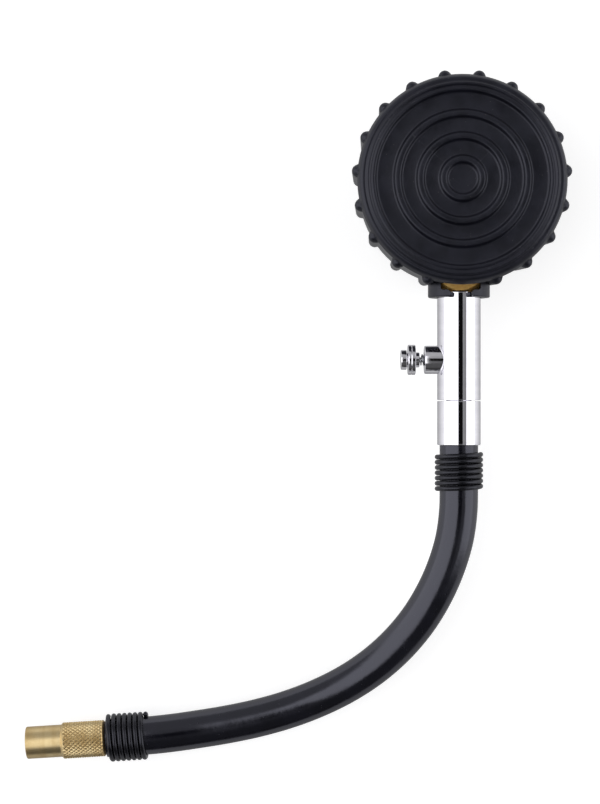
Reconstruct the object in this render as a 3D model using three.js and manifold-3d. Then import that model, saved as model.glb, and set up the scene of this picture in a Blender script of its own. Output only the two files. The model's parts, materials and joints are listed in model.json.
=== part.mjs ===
// Dial tyre pressure gauge: a rubber-booted round gauge with a bleed valve,
// a short swivelling hose and a screw-on brass chuck. Millimetres, +Z up.
// The gauge lies dial-down; +Y points away from the hose, the stem runs towards -Y.
import * as THREE from 'three';
import { mergeVertices } from 'three/addons/utils/BufferGeometryUtils.js';
import Module from 'manifold-3d';

const wasm = await Module();
wasm.setup();

// ---------- driving dimensions ----------
const GAP = 0.3;                 // clearance between neighbouring pieces
const HEAD_Y = 24.0;             // gauge axis, in front of the part's origin
const STEM_Z = 19.0;             // height of the stem and hose exit axis

const BOOT_R = 32.0;             // rubber boot, back edge of the wall between the ribs
const BOOT_FRONT_R = 30.6;       // front edge: the wall tapers towards the dial
const WALL_FROM = 1.5;
const WALL_TO = 32.8;
const BOOT_DEPTH = 36.0;
const BOOT_FACE_Z = 34.8;        // flat of the boot's back, below its raised rings
const RING_H = 1.0;
const RING_W = 2.85;
const RING_FEET = [4.45, 11.45, 18.35];  // inner radii of the rings
const LIP_R = 25.0;              // opening in the boot's front lip
const LIP_H = 2.0;
const CAVITY_TOP = 31.5;
const RIB_COUNT = 19;            // equal places, one of them taken by the collar
const RIB_R = 2.0;
const RIB_STAND = 1.8;           // how far a rib stands out of the wall
const RIB_FROM = 4.0;
const RIB_TO = 33.0;
const COLLAR_R = 9.6;
const COLLAR_END = -35.4;
const COLLAR_LIP = 2.1;
const WINDOW_W = 12.3;
const SLOT_W = 6.5;

const CASE_R = 27.0;
const CASE_WALL = 0.8;
const CASE_TOP = 31.2;
const CASE_IN = CASE_R - CASE_WALL;
const CASE_SEGMENTS = 36;
const LENS_Z = 3.4;
const LENS_H = 1.6;
const LEDGE_Z = 6.6;
const DIAL_Z = 9.2;
const DIAL_H = 0.5;

const SOCKET_HALF = 6.0;         // half of the square wrench section
const SOCKET_CORNER_R = 8.0;
const SOCKET_END = -33.4;
const STEM_R = 6.75;
const STEM_TOP = SOCKET_END - GAP;
const STEM_END = -67.2;
const PASSAGE_R = 1.6;
const VALVE_Y = -54.7;           // bleed valve axis
const SPIGOT_R = 3.9;
const CHAMBER_TOP = -58.8;
const FERRULE_TOP = STEM_END - GAP;
const FERRULE_END = -81.2;
const CHECK_R = 2.3;             // check valve bore in the ferrule
const SPIGOT_TOP = -59.3;
const O_RING_Y = -61.5;
const SNAP_Y = -65.0;

const VALVE_BORE_R = 3.3;        // bleed valve's hole in the stem
const BOSS_R = 4.4;
const BOSS_FROM = -STEM_R - 0.25;
const BOSS_FACE = -10.8;
const PIN_R = 0.8;

const PLATE_H = 0.8;
const FRONT_PLATE_Z = 11.0;
const BACK_PLATE_Z = 17.5;
const GEAR_Z = 14.0;
const GEAR_H = 0.8;
const MODULE = 0.25;             // gear module
const PINION_TEETH = 10;
const SECTOR_TEETH = 90;         // in a full circle
const SECTOR_PITCH_R = MODULE * SECTOR_TEETH / 2;
const PINION_PITCH_R = MODULE * PINION_TEETH / 2;
const SECTOR_ANGLE = 240;        // pivot direction seen from the pointer axis, degrees
const SECTOR_SWING = 30;
const TAIL_R = 5.0;
const LINK_Z = 15.3;
const LINK_H = 0.6;
const TUBE_R = 18.0;             // Bourdon tube's coil radius
const TUBE_FROM = -72;           // degrees
const TUBE_TO = 188;
const TIP_R = 15.5;              // tip pin, from the pointer axis
const TIP_ANGLE = 194;
const TUBE_W = 1.6;
const TUBE_H = 7;
const TUBE_Z = STEM_Z - TUBE_H / 2;
const POINTER_Z = 7.4;
const ZERO_ANGLE = -45;          // pointer at rest, degrees
const STOP_R = 14.0;
const DIAL_SCREWS = [[-6.5, 3.5], [6.5, 3.5]];
const PILLARS = [[7, -9], [-7.5, 5], [7.5, 5]];
const TAB_SCREWS = [[-2.8, -10.6], [2.8, -10.6]];

const HOSE_R = 6.0;
const HOSE_BORE_R = 2.6;
const BARB_R = 2.1;
const BARB_BORE_R = 1.3;
const BARB_END = -95;
const CLAMP_R = 7.55;
const UPPER_CLAMP = [-95.9, -83.3];  // along the stem, from the gauge axis
const LOWER_CLAMP = [-13.7, -0.4];   // along the chuck's axis
const CHUCK = new THREE.Vector3(-110.85, -150.2, CLAMP_R);
const CHUCK_TURN = 93.5;         // degrees about +Z, from +Y to the chuck's axis
const KNURL_R = 5.7;
const KNURL_L = 13.9;
const NOSE_R = 5.05;
const CHUCK_L = 25.1;
const MOUTH_R = 3.95;

// The hose's middle line, from the ferrule down to the surface and along it to the chuck.
const HOSE_ROUTE = [
  [0, -57.5, 19], [0, -64, 19], [0, -71, 19], [-0.2, -78, 18.9],
  [-1.3, -86.3, 18.3], [-3.6, -94.6, 17.1], [-7.1, -103.1, 15.4], [-12.1, -111.9, 13.3],
  [-18.4, -119.9, 11.1], [-25.8, -126.9, 9.1], [-34.2, -132.8, 7.5], [-43.2, -137.5, 6.5],
  [-52.7, -141.2, 6.2], [-62.5, -144, 6.2], [-72.4, -146.1, 6.2], [-82.3, -147.7, 6.3],
  [-90, -148.7, 6.9], [-97, -149.35, 7.5], [-104, -149.78, 7.55], [-110.55, -150.18, 7.55],
];

// ---------- finishes ----------
const finish = (color, roughness, metalness) =>
  new THREE.MeshStandardMaterial({ color, roughness, metalness });
const RUBBER = finish(0x232327, 0.75, 0);
const HOSE_RUBBER = finish(0x26262e, 0.35, 0);
const CHROME = finish(0xdddde2, 0.08, 1);
const STEEL = finish(0x8f9296, 0.35, 1);
const BLACK_SPRING = finish(0x1b1b1f, 0.3, 0.6);
const BRASS = finish(0xb8924a, 0.3, 1);
const PALE_BRASS = finish(0xc9a973, 0.35, 1);
const CLEAR = finish(0xdfe8ec, 0.05, 0);
const DIAL_WHITE = finish(0xf2f2ee, 0.5, 0);
const POINTER_RED = finish(0xb3261e, 0.4, 0);
const SEAL_RUBBER = finish(0x1e1e1e, 0.6, 0);

// ---------- solids ----------
// A closed geometry with shared corners and no slivers along a turned piece's axis.
function weld(geometry) {
  geometry.deleteAttribute('normal');
  geometry.deleteAttribute('uv');
  const merged = mergeVertices(geometry, 1e-5);
  const kept = [];
  const index = merged.index.array;
  for (let i = 0; i < index.length; i += 3) {
    const [a, b, c] = [index[i], index[i + 1], index[i + 2]];
    if (a !== b && b !== c && c !== a) {
      kept.push(a, b, c);
    }
  }
  merged.setIndex(kept);
  return merged;
}

function toSolid(geometry) {
  const closed = weld(geometry);
  return new wasm.Manifold(new wasm.Mesh({
    numProp: 3,
    vertProperties: new Float32Array(closed.attributes.position.array),
    triVerts: new Uint32Array(closed.index.array),
  }));
}

function toGeometry(solid) {
  const mesh = solid.getMesh();
  const geometry = new THREE.BufferGeometry();
  geometry.setAttribute('position', new THREE.BufferAttribute(mesh.vertProperties, 3));
  geometry.setIndex(new THREE.BufferAttribute(mesh.triVerts, 1));
  return geometry;
}

const cut = (body, ...tools) => tools.reduce((s, t) => s.subtract(t), body);
const join = (body, ...more) => more.reduce((s, t) => s.add(t), body);

// Turns a profile of [radius, height] points round an axis of the part.
function turned(profile, segments, axis = 'y') {
  let area = 0;
  profile.forEach(([r, h], i) => {
    const [r2, h2] = profile[(i + 1) % profile.length];
    area += r * h2 - r2 * h;
  });
  const outline = area > 0 ? [...profile] : [...profile].reverse();
  if (outline[0][0] > 0) {
    outline.push(outline[0]);
  }
  const points = outline.map(([r, h]) => new THREE.Vector2(r, h));
  const geometry = new THREE.LatheGeometry(points, segments);
  if (axis === 'z') {
    geometry.rotateX(Math.PI / 2);
  }
  if (axis === 'x') {
    geometry.rotateZ(-Math.PI / 2);
  }
  return geometry;
}

const rod = (r, from, to, segments, axis) =>
  turned([[0, from], [r, from], [r, to], [0, to]], segments, axis);

const ring = (inner, outer, from, to, segments, axis) =>
  turned([[inner, from], [outer, from], [outer, to], [inner, to]], segments, axis);

function block(x0, x1, y0, y1, z0, z1) {
  const geometry = new THREE.BoxGeometry(x1 - x0, y1 - y0, z1 - z0);
  return geometry.translate((x0 + x1) / 2, (y0 + y1) / 2, (z0 + z1) / 2);
}

function plate(shape, z, height) {
  const geometry = new THREE.ExtrudeGeometry(shape, { depth: height, bevelEnabled: false });
  return geometry.translate(0, 0, z);
}

const radians = THREE.MathUtils.degToRad;
const polar = (r, degrees) => [r * Math.cos(radians(degrees)), r * Math.sin(radians(degrees))];

function outline(points) {
  return new THREE.Shape(points.map(([x, y]) => new THREE.Vector2(x, y)));
}

function hole(x, y, r, segments = 12) {
  const points = [];
  for (let i = 0; i < segments; i += 1) {
    const [dx, dy] = polar(r, -360 * i / segments);
    points.push(new THREE.Vector2(x + dx, y + dy));
  }
  return new THREE.Path(points);
}

function disc(r, sides) {
  const points = [];
  for (let i = 0; i < sides; i += 1) {
    points.push(polar(r, 360 * i / sides));
  }
  return outline(points);
}

const part = new THREE.Group();
const head = new THREE.Group();
head.position.y = HEAD_Y;
part.add(head);

function add(name, shape, material, parent = head) {
  const geometry = shape.isBufferGeometry ? weld(shape) : toGeometry(shape);
  geometry.computeVertexNormals();
  const mesh = new THREE.Mesh(geometry, material);
  mesh.name = name;
  parent.add(mesh);
  return mesh;
}

// ---------- rubber boot ----------
function bootWall() {
  const profile = [
    [0, CAVITY_TOP], [CASE_R + GAP, CAVITY_TOP], [CASE_R + GAP, LIP_H], [LIP_R, LIP_H], [LIP_R, 0],
    [BOOT_FRONT_R - 1.4, 0], [BOOT_FRONT_R, WALL_FROM], [BOOT_R, WALL_TO], [31.2, 34.8], [29.6, 35.8],
    [28.5, BOOT_DEPTH], [27.1, 35.9], [26.2, BOOT_FACE_Z],
  ];
  for (const foot of [...RING_FEET].reverse()) {
    const end = foot + RING_W;
    profile.push([end, BOOT_FACE_Z], [end - 0.65, BOOT_FACE_Z + RING_H]);
    profile.push([foot + 0.65, BOOT_FACE_Z + RING_H], [foot, BOOT_FACE_Z]);
  }
  profile.push([0, BOOT_FACE_Z]);
  return toSolid(turned(profile, 2 * RIB_COUNT, 'z'));
}

// A round-ended rib that leans with the wall's taper.
function bootRib(degrees) {
  const profile = [[0, RIB_FROM], [RIB_R, RIB_FROM + 1.6], [RIB_R, RIB_TO - 1.6], [0, RIB_TO]];
  const lean = Math.atan((BOOT_R - BOOT_FRONT_R) / (WALL_TO - WALL_FROM));
  const rib = turned(profile, 8, 'z').translate(0, 0, -WALL_TO).rotateY(lean);
  rib.translate(BOOT_R + RIB_STAND - RIB_R, 0, WALL_TO);
  return toSolid(rib.rotateZ(radians(degrees)));
}

function boot() {
  let body = bootWall();
  for (let i = 1; i < RIB_COUNT; i += 1) {
    body = body.add(bootRib(270 + 360 * i / RIB_COUNT));
  }
  const along = (geometry) => toSolid(geometry.translate(0, 0, STEM_Z));
  const sleeve = along(rod(COLLAR_R, COLLAR_END, -28.5, 24, 'y'));
  const bore = along(rod(SOCKET_CORNER_R + GAP, COLLAR_END + COLLAR_LIP, -24, 24, 'y'));
  const neck = along(rod(STEM_R + GAP, COLLAR_END - 1, -30, 24, 'y'));
  const room = toSolid(rod(CASE_R + GAP, LIP_H, CAVITY_TOP, 2 * RIB_COUNT, 'z'));
  const window = toSolid(block(
    -WINDOW_W / 2, WINDOW_W / 2, COLLAR_END + COLLAR_LIP, -31.2, STEM_Z, 29,
  ));
  const slot = toSolid(block(-SLOT_W / 2, SLOT_W / 2, COLLAR_END - 1, -32, STEM_Z, 29));
  return cut(join(body, sleeve), bore, neck, room, window, slot);
}

add('rubber_boot', boot(), RUBBER);

// ---------- case, lens and dial ----------
const caseCup = toSolid(turned([
  [0, CASE_TOP - CASE_WALL], [CASE_IN, CASE_TOP - CASE_WALL], [CASE_IN, LEDGE_Z + 0.8],
  [LIP_R, LEDGE_Z + 0.8], [LIP_R, LEDGE_Z], [CASE_IN, LEDGE_Z], [CASE_IN, 5], [CASE_R, 5],
  [CASE_R, CASE_TOP], [0, CASE_TOP],
], CASE_SEGMENTS, 'z'));
const caseDoor = toSolid(block(
  -SOCKET_HALF - GAP, SOCKET_HALF + GAP, -30, -22,
  STEM_Z - SOCKET_HALF - GAP, STEM_Z + SOCKET_HALF + GAP,
));
add('gauge_case', cut(caseCup, caseDoor), STEEL);

add('bezel_ring', turned([
  [24.9, 2.3], [CASE_R, 2.3], [CASE_R, 4.7], [CASE_IN, 4.7], [CASE_IN, 3.1], [24.9, 3.1],
], CASE_SEGMENTS, 'z'), CHROME);
add('lens', rod(CASE_IN - GAP, LENS_Z, LENS_Z + LENS_H, CASE_SEGMENTS, 'z'), CLEAR);
add('lens_gasket', ring(
  24.6, CASE_IN - GAP, LENS_Z + LENS_H + GAP, LEDGE_Z - GAP, CASE_SEGMENTS, 'z',
), SEAL_RUBBER);

const [STOP_X, STOP_Y] = polar(STOP_R, ZERO_ANGLE - 7);
const dialShape = disc(CASE_IN - GAP, CASE_SEGMENTS);
dialShape.holes.push(hole(0, 0, 1.3));
for (const [x, y] of DIAL_SCREWS) {
  dialShape.holes.push(hole(x, y, 0.85, 8));
}
dialShape.holes.push(hole(STOP_X, STOP_Y, 0.8, 8));
add('dial_plate', plate(dialShape, DIAL_Z, DIAL_H), DIAL_WHITE);

DIAL_SCREWS.forEach(([x, y], i) => {
  const screw = turned([
    [0, DIAL_Z - 1], [0.9, DIAL_Z - 1], [1.1, DIAL_Z - 0.7], [1.1, DIAL_Z - GAP],
    [0.55, DIAL_Z - GAP], [0.55, 11.4], [0, 11.4],
  ], 12, 'z');
  add(`dial_screw_${i + 1}`, screw.translate(x, y, 0), STEEL);
});
add('stop_pin', turned([
  [0, 7], [0.5, 7], [0.5, DIAL_Z + DIAL_H + GAP], [1.1, DIAL_Z + DIAL_H + GAP],
  [1.1, DIAL_Z + DIAL_H + 0.8], [0, DIAL_Z + DIAL_H + 0.8],
], 10, 'z').translate(STOP_X, STOP_Y, 0), STEEL);

// ---------- pointer and its arbor ----------
const needle = outline([
  [-7, -1.5], [-5, -1.7], [-1.5, -0.8], [18, -0.35], [20.5, 0],
  [18, 0.35], [-1.5, 0.8], [-5, 1.7], [-7, 1.5],
]);
const hub = toSolid(rod(2, 6.5, 8.6, 16, 'z'));
const hubBore = toSolid(rod(0.8, 7.2, 9, 10, 'z'));
const needleSolid = toSolid(plate(needle, POINTER_Z, 0.5).rotateZ(radians(ZERO_ANGLE)));
add('pointer', cut(join(needleSolid, hub), hubBore), POINTER_RED);

// One flat-topped tooth every 360/count degrees, thinner than its gap so that the mesh runs free.
function toothedArc(count, first, last, turn) {
  const pitchR = MODULE * count / 2;
  const rootR = pitchR - 1.3 * MODULE;
  const tipR = pitchR + 0.85 * MODULE;
  const pitch = 360 / count;
  const points = [];
  for (let i = first; i <= last; i += 1) {
    const middle = turn + i * pitch;
    points.push(polar(rootR, middle - 0.27 * pitch), polar(tipR, middle - 0.1 * pitch));
    points.push(polar(tipR, middle + 0.1 * pitch), polar(rootR, middle + 0.27 * pitch));
  }
  return points;
}

const pinionTurn = SECTOR_ANGLE - 180 / PINION_TEETH;
const pinion = plate(outline(toothedArc(PINION_TEETH, 0, PINION_TEETH - 1, pinionTurn)), 13.7, 1.4);
const arbor = toSolid(rod(0.5, 7.5, 18, 10, 'z'));
add('pinion_arbor', join(toSolid(pinion), arbor), BRASS);

// ---------- movement ----------
const [SECTOR_X, SECTOR_Y] = polar(SECTOR_PITCH_R + PINION_PITCH_R, SECTOR_ANGLE);

function movementPlate(z, holes) {
  const shape = outline([
    [-8.5, -12.6], [8.5, -12.6], [9.5, -11.6], [9.5, 6], [8.5, 7], [-8.5, 7], [-9.5, 6],
    [-9.5, -11.6],
  ]);
  for (const [x, y, r] of holes) {
    shape.holes.push(hole(x, y, r, 10));
  }
  return plate(shape, z, PLATE_H);
}

const BEARINGS = [[0, 0, 0.8], [SECTOR_X, SECTOR_Y, 0.9]];
const dialPads = DIAL_SCREWS.map(([x, y]) =>
  toSolid(rod(1.6, 10, FRONT_PLATE_Z + 0.4, 10, 'z').translate(x, y, 0)));
const dialTaps = DIAL_SCREWS.map(([x, y]) =>
  toSolid(rod(0.85, 9, 13, 8, 'z').translate(x, y, 0)));
const frontPlate = join(toSolid(movementPlate(FRONT_PLATE_Z, BEARINGS)), ...dialPads);
add('movement_front_plate', cut(frontPlate, ...dialTaps), BRASS);
const tabHoles = TAB_SCREWS.map(([x, y]) => [x, y, 1.1]);
add('movement_back_plate', movementPlate(BACK_PLATE_Z, [...BEARINGS, ...tabHoles]), BRASS);
PILLARS.forEach(([x, y], i) => {
  const pillar = rod(1.2, FRONT_PLATE_Z + PLATE_H + GAP, BACK_PLATE_Z - GAP, 12, 'z');
  add(`movement_pillar_${i + 1}`, pillar.translate(x, y, 0), BRASS);
});
TAB_SCREWS.forEach(([x, y], i) => {
  const screw = turned([
    [0, 16.3], [1.3, 16.3], [1.5, 16.5], [1.5, BACK_PLATE_Z - GAP], [0.8, BACK_PLATE_Z - GAP],
    [0.8, 20.4], [0, 20.4],
  ], 12, 'z');
  add(`movement_screw_${i + 1}`, screw.translate(x, y, 0), STEEL);
});

// The sector: a toothed fan above its pivot, with a tail that the link pulls.
function sectorGear() {
  const pitch = 360 / SECTOR_TEETH;
  const first = -1;
  const last = Math.round(SECTOR_SWING / pitch) + 1;
  const teeth = toothedArc(SECTOR_TEETH, first, last, SECTOR_ANGLE - 180);
  const fan = outline([polar(1.2, SECTOR_ANGLE - 235), ...teeth, polar(1.2, SECTOR_ANGLE - 90)]);
  const fanSolid = toSolid(plate(fan, GEAR_Z, GEAR_H));
  const [tx, ty] = polar(TAIL_R, SECTOR_ANGLE);
  const tail = toSolid(block(0, TAIL_R, -0.8, 0.8, GEAR_Z, GEAR_Z + GEAR_H)
    .rotateZ(radians(SECTOR_ANGLE)));
  const hubSolid = toSolid(rod(1.8, 13.4, 15.1, 14, 'z'));
  const shaft = toSolid(rod(0.55, 11.2, 18.1, 10, 'z'));
  const tailEye = toSolid(rod(1.2, GEAR_Z, GEAR_Z + GEAR_H, 12, 'z').translate(tx, ty, 0));
  const tailPin = toSolid(rod(0.45, GEAR_Z + 0.2, 16.3, 10, 'z').translate(tx, ty, 0));
  return join(fanSolid, tail, hubSolid, shaft, tailEye, tailPin);
}
const sector = add('sector_gear', sectorGear(), BRASS);
sector.position.set(SECTOR_X, SECTOR_Y, 0);

// Flat spiral spring between the arbor and a pillar.
function hairspring() {
  const turns = 3;
  const steps = 14;
  const start = 0.9;
  const growth = 0.95;
  const strip = 0.2;
  const inner = [];
  const outer = [];
  for (let i = 0; i <= turns * steps; i += 1) {
    const r = start + growth * i / steps;
    inner.push(polar(r, 360 * i / steps));
    outer.push(polar(r + strip, 360 * i / steps));
  }
  return plate(outline([...outer, ...inner.reverse()]), 15.9, 0.5);
}
add('hairspring', hairspring(), STEEL);

const [TIP_X, TIP_Y] = polar(TIP_R, TIP_ANGLE);
const [TAIL_DX, TAIL_DY] = polar(TAIL_R, SECTOR_ANGLE);
const TAIL_X = SECTOR_X + TAIL_DX;
const TAIL_Y = SECTOR_Y + TAIL_DY;
const LINK_L = Math.hypot(TIP_X - TAIL_X, TIP_Y - TAIL_Y);

function linkBar() {
  const eye = (x) => toSolid(rod(1.5, LINK_Z, LINK_Z + LINK_H, 12, 'z').translate(x, 0, 0));
  const bar = toSolid(block(0, LINK_L, -0.6, 0.6, LINK_Z, LINK_Z + LINK_H));
  const pinHole = (x) => toSolid(rod(0.9, 15, 17, 12, 'z').translate(x, 0, 0));
  return cut(join(bar, eye(0), eye(LINK_L)), pinHole(0), pinHole(LINK_L));
}
const link = add('link', linkBar(), BRASS);
link.position.set(TIP_X, TIP_Y, 0);
link.rotation.z = Math.atan2(TAIL_Y - TIP_Y, TAIL_X - TIP_X);

// The pressure tube: a flattened tube bent round the case, and its closed tip with a pin.
function arcBand(inner, outer, from, to, steps) {
  const points = [];
  for (let i = 0; i <= steps; i += 1) {
    points.push(polar(outer, from + (to - from) * i / steps));
  }
  for (let i = steps; i >= 0; i -= 1) {
    points.push(polar(inner, from + (to - from) * i / steps));
  }
  return outline(points);
}
add('bourdon_tube', plate(
  arcBand(TUBE_R - TUBE_W / 2, TUBE_R + TUBE_W / 2, TUBE_FROM, TUBE_TO, 36), TUBE_Z, TUBE_H,
), BRASS);
const tipCap = toSolid(plate(arcBand(17.3, 19, TUBE_TO + 1.2, 197, 2), TUBE_Z - 1.4, TUBE_H + 1.4));
const tipFoot = toSolid(plate(arcBand(14.2, 17.6, 191, 197, 2), TUBE_Z - 1.4, 0.8));
const tipPin = toSolid(rod(0.45, TUBE_Z - 1, 16.3, 10, 'z').translate(TIP_X, TIP_Y, 0));
add('tube_tip', join(tipCap, tipFoot, tipPin), BRASS);

// ---------- brass socket and stem ----------
const atStem = (geometry) => toSolid(geometry.translate(0, 0, STEM_Z));

function socket() {
  const bevel = SOCKET_CORNER_R - SOCKET_HALF;
  const turnedEnd = atStem(turned([
    [0, SOCKET_END], [SOCKET_HALF, SOCKET_END], [SOCKET_CORNER_R, SOCKET_END + bevel],
    [SOCKET_CORNER_R, -25.5], [0, -25.5],
  ], 24, 'y'));
  const square = atStem(block(
    -SOCKET_HALF, SOCKET_HALF, SOCKET_END - 1, -25, -SOCKET_HALF, SOCKET_HALF,
  ));
  const inner = atStem(block(-4.9, 4.9, -26, -13, -5.5, 5.5));
  const tab = toSolid(block(-4.6, 4.6, -14, -8.2, BACK_PLATE_Z + PLATE_H + GAP, 21));
  const thread = atStem(rod(SPIGOT_R + GAP, SOCKET_END - 1, -26.6, 20, 'y'));
  const passage = atStem(rod(PASSAGE_R, -28, -18, 10, 'y'));
  const taps = TAB_SCREWS.map(([x, y]) => toSolid(rod(1.1, 18, 20.7, 10, 'z').translate(x, y, 0)));
  return cut(join(turnedEnd.intersect(square), inner, tab), thread, passage, ...taps);
}
add('brass_socket', socket(), BRASS);

const stemBar = atStem(turned([
  [0, -27], [SPIGOT_R - 0.4, -27], [SPIGOT_R, -27.4], [SPIGOT_R, STEM_TOP],
  [STEM_R - 0.4, STEM_TOP], [STEM_R, STEM_TOP - 0.4], [STEM_R, STEM_END + 0.3],
  [STEM_R - 0.3, STEM_END], [0, STEM_END],
], 24, 'y'));
const stemBore = atStem(rod(PASSAGE_R, STEM_END - 1, -26, 8, 'y'));
const stemChamber = atStem(turned([
  [0, CHAMBER_TOP], [SPIGOT_R + GAP, CHAMBER_TOP], [SPIGOT_R + GAP, SNAP_Y + 0.8],
  [4.7, SNAP_Y + 0.8], [4.7, SNAP_Y - 0.8], [SPIGOT_R + GAP, SNAP_Y - 0.8],
  [SPIGOT_R + GAP, STEM_END - 1], [0, STEM_END - 1],
], 16, 'y'));
const valveSeatBore = atStem(rod(VALVE_BORE_R, -8, -1, 12, 'x').translate(0, VALVE_Y, 0));
add('stem_body', cut(stemBar, stemBore, stemChamber, valveSeatBore), CHROME);

// ---------- bleed valve: pushed in towards +X, it lets the held air out ----------
const bleed = new THREE.Group();
bleed.position.set(0, VALVE_Y, STEM_Z);
head.add(bleed);
const bleedBoss = toSolid(turned([
  [1.2, -4.2], [3, -4.2], [3, -6.4], [BOSS_R - 0.4, BOSS_FROM], [BOSS_R, BOSS_FROM - 0.4],
  [BOSS_R, BOSS_FACE + 0.5], [BOSS_R - 0.5, BOSS_FACE], [2.2, BOSS_FACE], [2.2, -8], [1.2, -8],
], 16, 'x'));
const stemClear = toSolid(rod(STEM_R + GAP, -8, 8, 24, 'y'));
const shankKept = toSolid(rod(3, -12, 0, 16, 'x'));
const bossOutside = bleedBoss.subtract(stemClear);
add('bleed_valve_body', join(bossOutside, bleedBoss.intersect(shankKept)), CHROME, bleed);
add('bleed_pin', turned([
  [0, -17.2], [PIN_R, -17.2], [PIN_R, -3], [1.9, -3], [1.9, -2.4], [0, -2.4],
], 12, 'x'), STEEL, bleed);
add('bleed_seal', ring(PIN_R + GAP, 1.9, -3.9, -3.3, 12, 'x'), SEAL_RUBBER, bleed);
add('bleed_button', turned([
  [0, -18.1], [2.8, -18.1], [3.1, -17.8], [3.1, -16.3], [2.3, -16.3], [2.3, -15.9],
  [4.4, -15.9], [4.7, -15.6], [4.7, -14.1], [4.4, -13.8], [2.35, -13.8], [2.35, -12.5],
  [PIN_R + GAP, -12.5], [PIN_R + GAP, -17.5], [0, -17.5],
], 16, 'x'), CHROME, bleed);
add('bleed_spring', ring(PIN_R + GAP + 0.1, 1.9, -12.2, -8.3, 16, 'x'), STEEL, bleed);

// ---------- swivelling ferrule with the check valve inside ----------
const ferruleProfile = [
  [CHECK_R, SPIGOT_TOP], [SPIGOT_R, SPIGOT_TOP], [SPIGOT_R, O_RING_Y + 0.8],
  [2.9, O_RING_Y + 0.8], [2.9, O_RING_Y - 0.8], [SPIGOT_R, O_RING_Y - 0.8],
  [SPIGOT_R, SNAP_Y + 0.8], [3.3, SNAP_Y + 0.8], [3.3, SNAP_Y - 0.8], [SPIGOT_R, SNAP_Y - 0.8],
  [SPIGOT_R, FERRULE_TOP], [STEM_R - 0.3, FERRULE_TOP], [STEM_R, FERRULE_TOP - 0.3],
  [STEM_R, FERRULE_END + 0.5], [STEM_R - 0.5, FERRULE_END], [3.3, FERRULE_END],
  [3.3, -78.5], [BARB_BORE_R, -78.5], [BARB_BORE_R, -77.1], [CHECK_R, -76.2],
];
const onStem = (geometry) => geometry.translate(0, 0, STEM_Z);
add('swivel_ferrule', onStem(turned(ferruleProfile, 20, 'y')), CHROME);
add('hose_barb', onStem(turned([
  [BARB_BORE_R, BARB_END], [BARB_R, BARB_END], [BARB_R, FERRULE_END], [3, FERRULE_END], [3, -78.8],
  [BARB_BORE_R, -78.8],
], 16, 'y')), BRASS);
add('swivel_o_ring', onStem(turned([
  [3.2, O_RING_Y - 0.25], [3.4, O_RING_Y - 0.45], [3.7, O_RING_Y - 0.45], [3.9, O_RING_Y - 0.25],
  [3.9, O_RING_Y + 0.25], [3.7, O_RING_Y + 0.45], [3.4, O_RING_Y + 0.45], [3.2, O_RING_Y + 0.25],
], 16, 'y')), SEAL_RUBBER);
add('swivel_snap_ring', onStem(ring(3.6, 4.4, SNAP_Y - 0.5, SNAP_Y + 0.5, 16, 'y')), STEEL);
add('check_valve_retainer', onStem(ring(0.9, CHECK_R - GAP, -62, -60.4, 12, 'y')), BRASS);
add('check_valve_spring', onStem(ring(1.1, 1.9, -72, -62.3, 12, 'y')), STEEL);
add('check_valve_poppet', onStem(turned([
  [0, -76.5], [1, -76.5], [1.9, -75.6], [1.9, -72.3], [0, -72.3],
], 16, 'y')), BRASS);

// ---------- hose ----------
const hoseSection = disc(HOSE_R, 10);
hoseSection.holes.push(hole(0, 0, HOSE_BORE_R, 8));
const hosePath = new THREE.CatmullRomCurve3(
  HOSE_ROUTE.map(([x, y, z]) => new THREE.Vector3(x, y, z)), false, 'centripetal',
);
add('hose', new THREE.ExtrudeGeometry(hoseSection, {
  steps: 22, bevelEnabled: false, extrudePath: hosePath,
}), HOSE_RUBBER, part);

const clampSleeve = ([from, to]) => ring(HOSE_R + GAP, CLAMP_R, from, to, 20, 'y');
add('upper_spring_clamp', onStem(clampSleeve(UPPER_CLAMP)), BLACK_SPRING);

// ---------- chuck: turns on its barb so that it can be screwed to a tyre valve ----------
const chuck = new THREE.Group();
chuck.position.copy(CHUCK);
chuck.rotation.z = radians(CHUCK_TURN);
part.add(chuck);
add('lower_spring_clamp', clampSleeve(LOWER_CLAMP), BLACK_SPRING, chuck);
add('chuck_barb', turned([
  [BARB_BORE_R, -14], [BARB_R, -14], [BARB_R, -0.3], [2.6, -0.3], [2.6, 8.5], [3.6, 8.5], [3.6, 13],
  [2.3, 13], [2.3, 11.5], [BARB_BORE_R, 11.5],
], 14, 'y'), PALE_BRASS, chuck);
add('chuck_sleeve', turned([
  [2.9, 0], [KNURL_R - 0.6, 0], [KNURL_R, 0.6], [KNURL_R, KNURL_L - 0.6],
  [KNURL_R - 0.6, KNURL_L], [NOSE_R, KNURL_L], [NOSE_R, CHUCK_L - 0.6],
  [NOSE_R - 0.4, CHUCK_L], [MOUTH_R, CHUCK_L], [MOUTH_R, 8.2], [2.9, 8.2],
], 24, 'y'), PALE_BRASS, chuck);
add('chuck_seal', ring(1.5, MOUTH_R - GAP, 13.3, 15.3, 16, 'y'), SEAL_RUBBER, chuck);
add('chuck_pin', turned([
  [0, 11.8], [2, 11.8], [2, 12.7], [0.7, 12.7], [0.7, 18], [0.4, 18.5], [0, 18.5],
], 14, 'y'), BRASS, chuck);

export default part;
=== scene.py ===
# %% [markdown]
# # A tyre pressure gauge in a rubber boot
# This lesson dresses a imported CAD model of a small workshop gauge: a ribbed rubber boot round a steel
# case, a chrome stem with a bleed valve, a short rubber hose held by spring clamps, and a knurled brass
# chuck. The CAD model holds the sizes and the joints, so the first step loads it.
# The axes that pieces are turned on are read from the loaded parts. Stations along those axes are given
# in millimetres and repeat the CAD model's own, so that the fine pieces sit where the plain ones were.

# %% Load the imported model
import json
import math
import bpy
import numpy as np
from mathutils import Matrix, Vector


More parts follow.
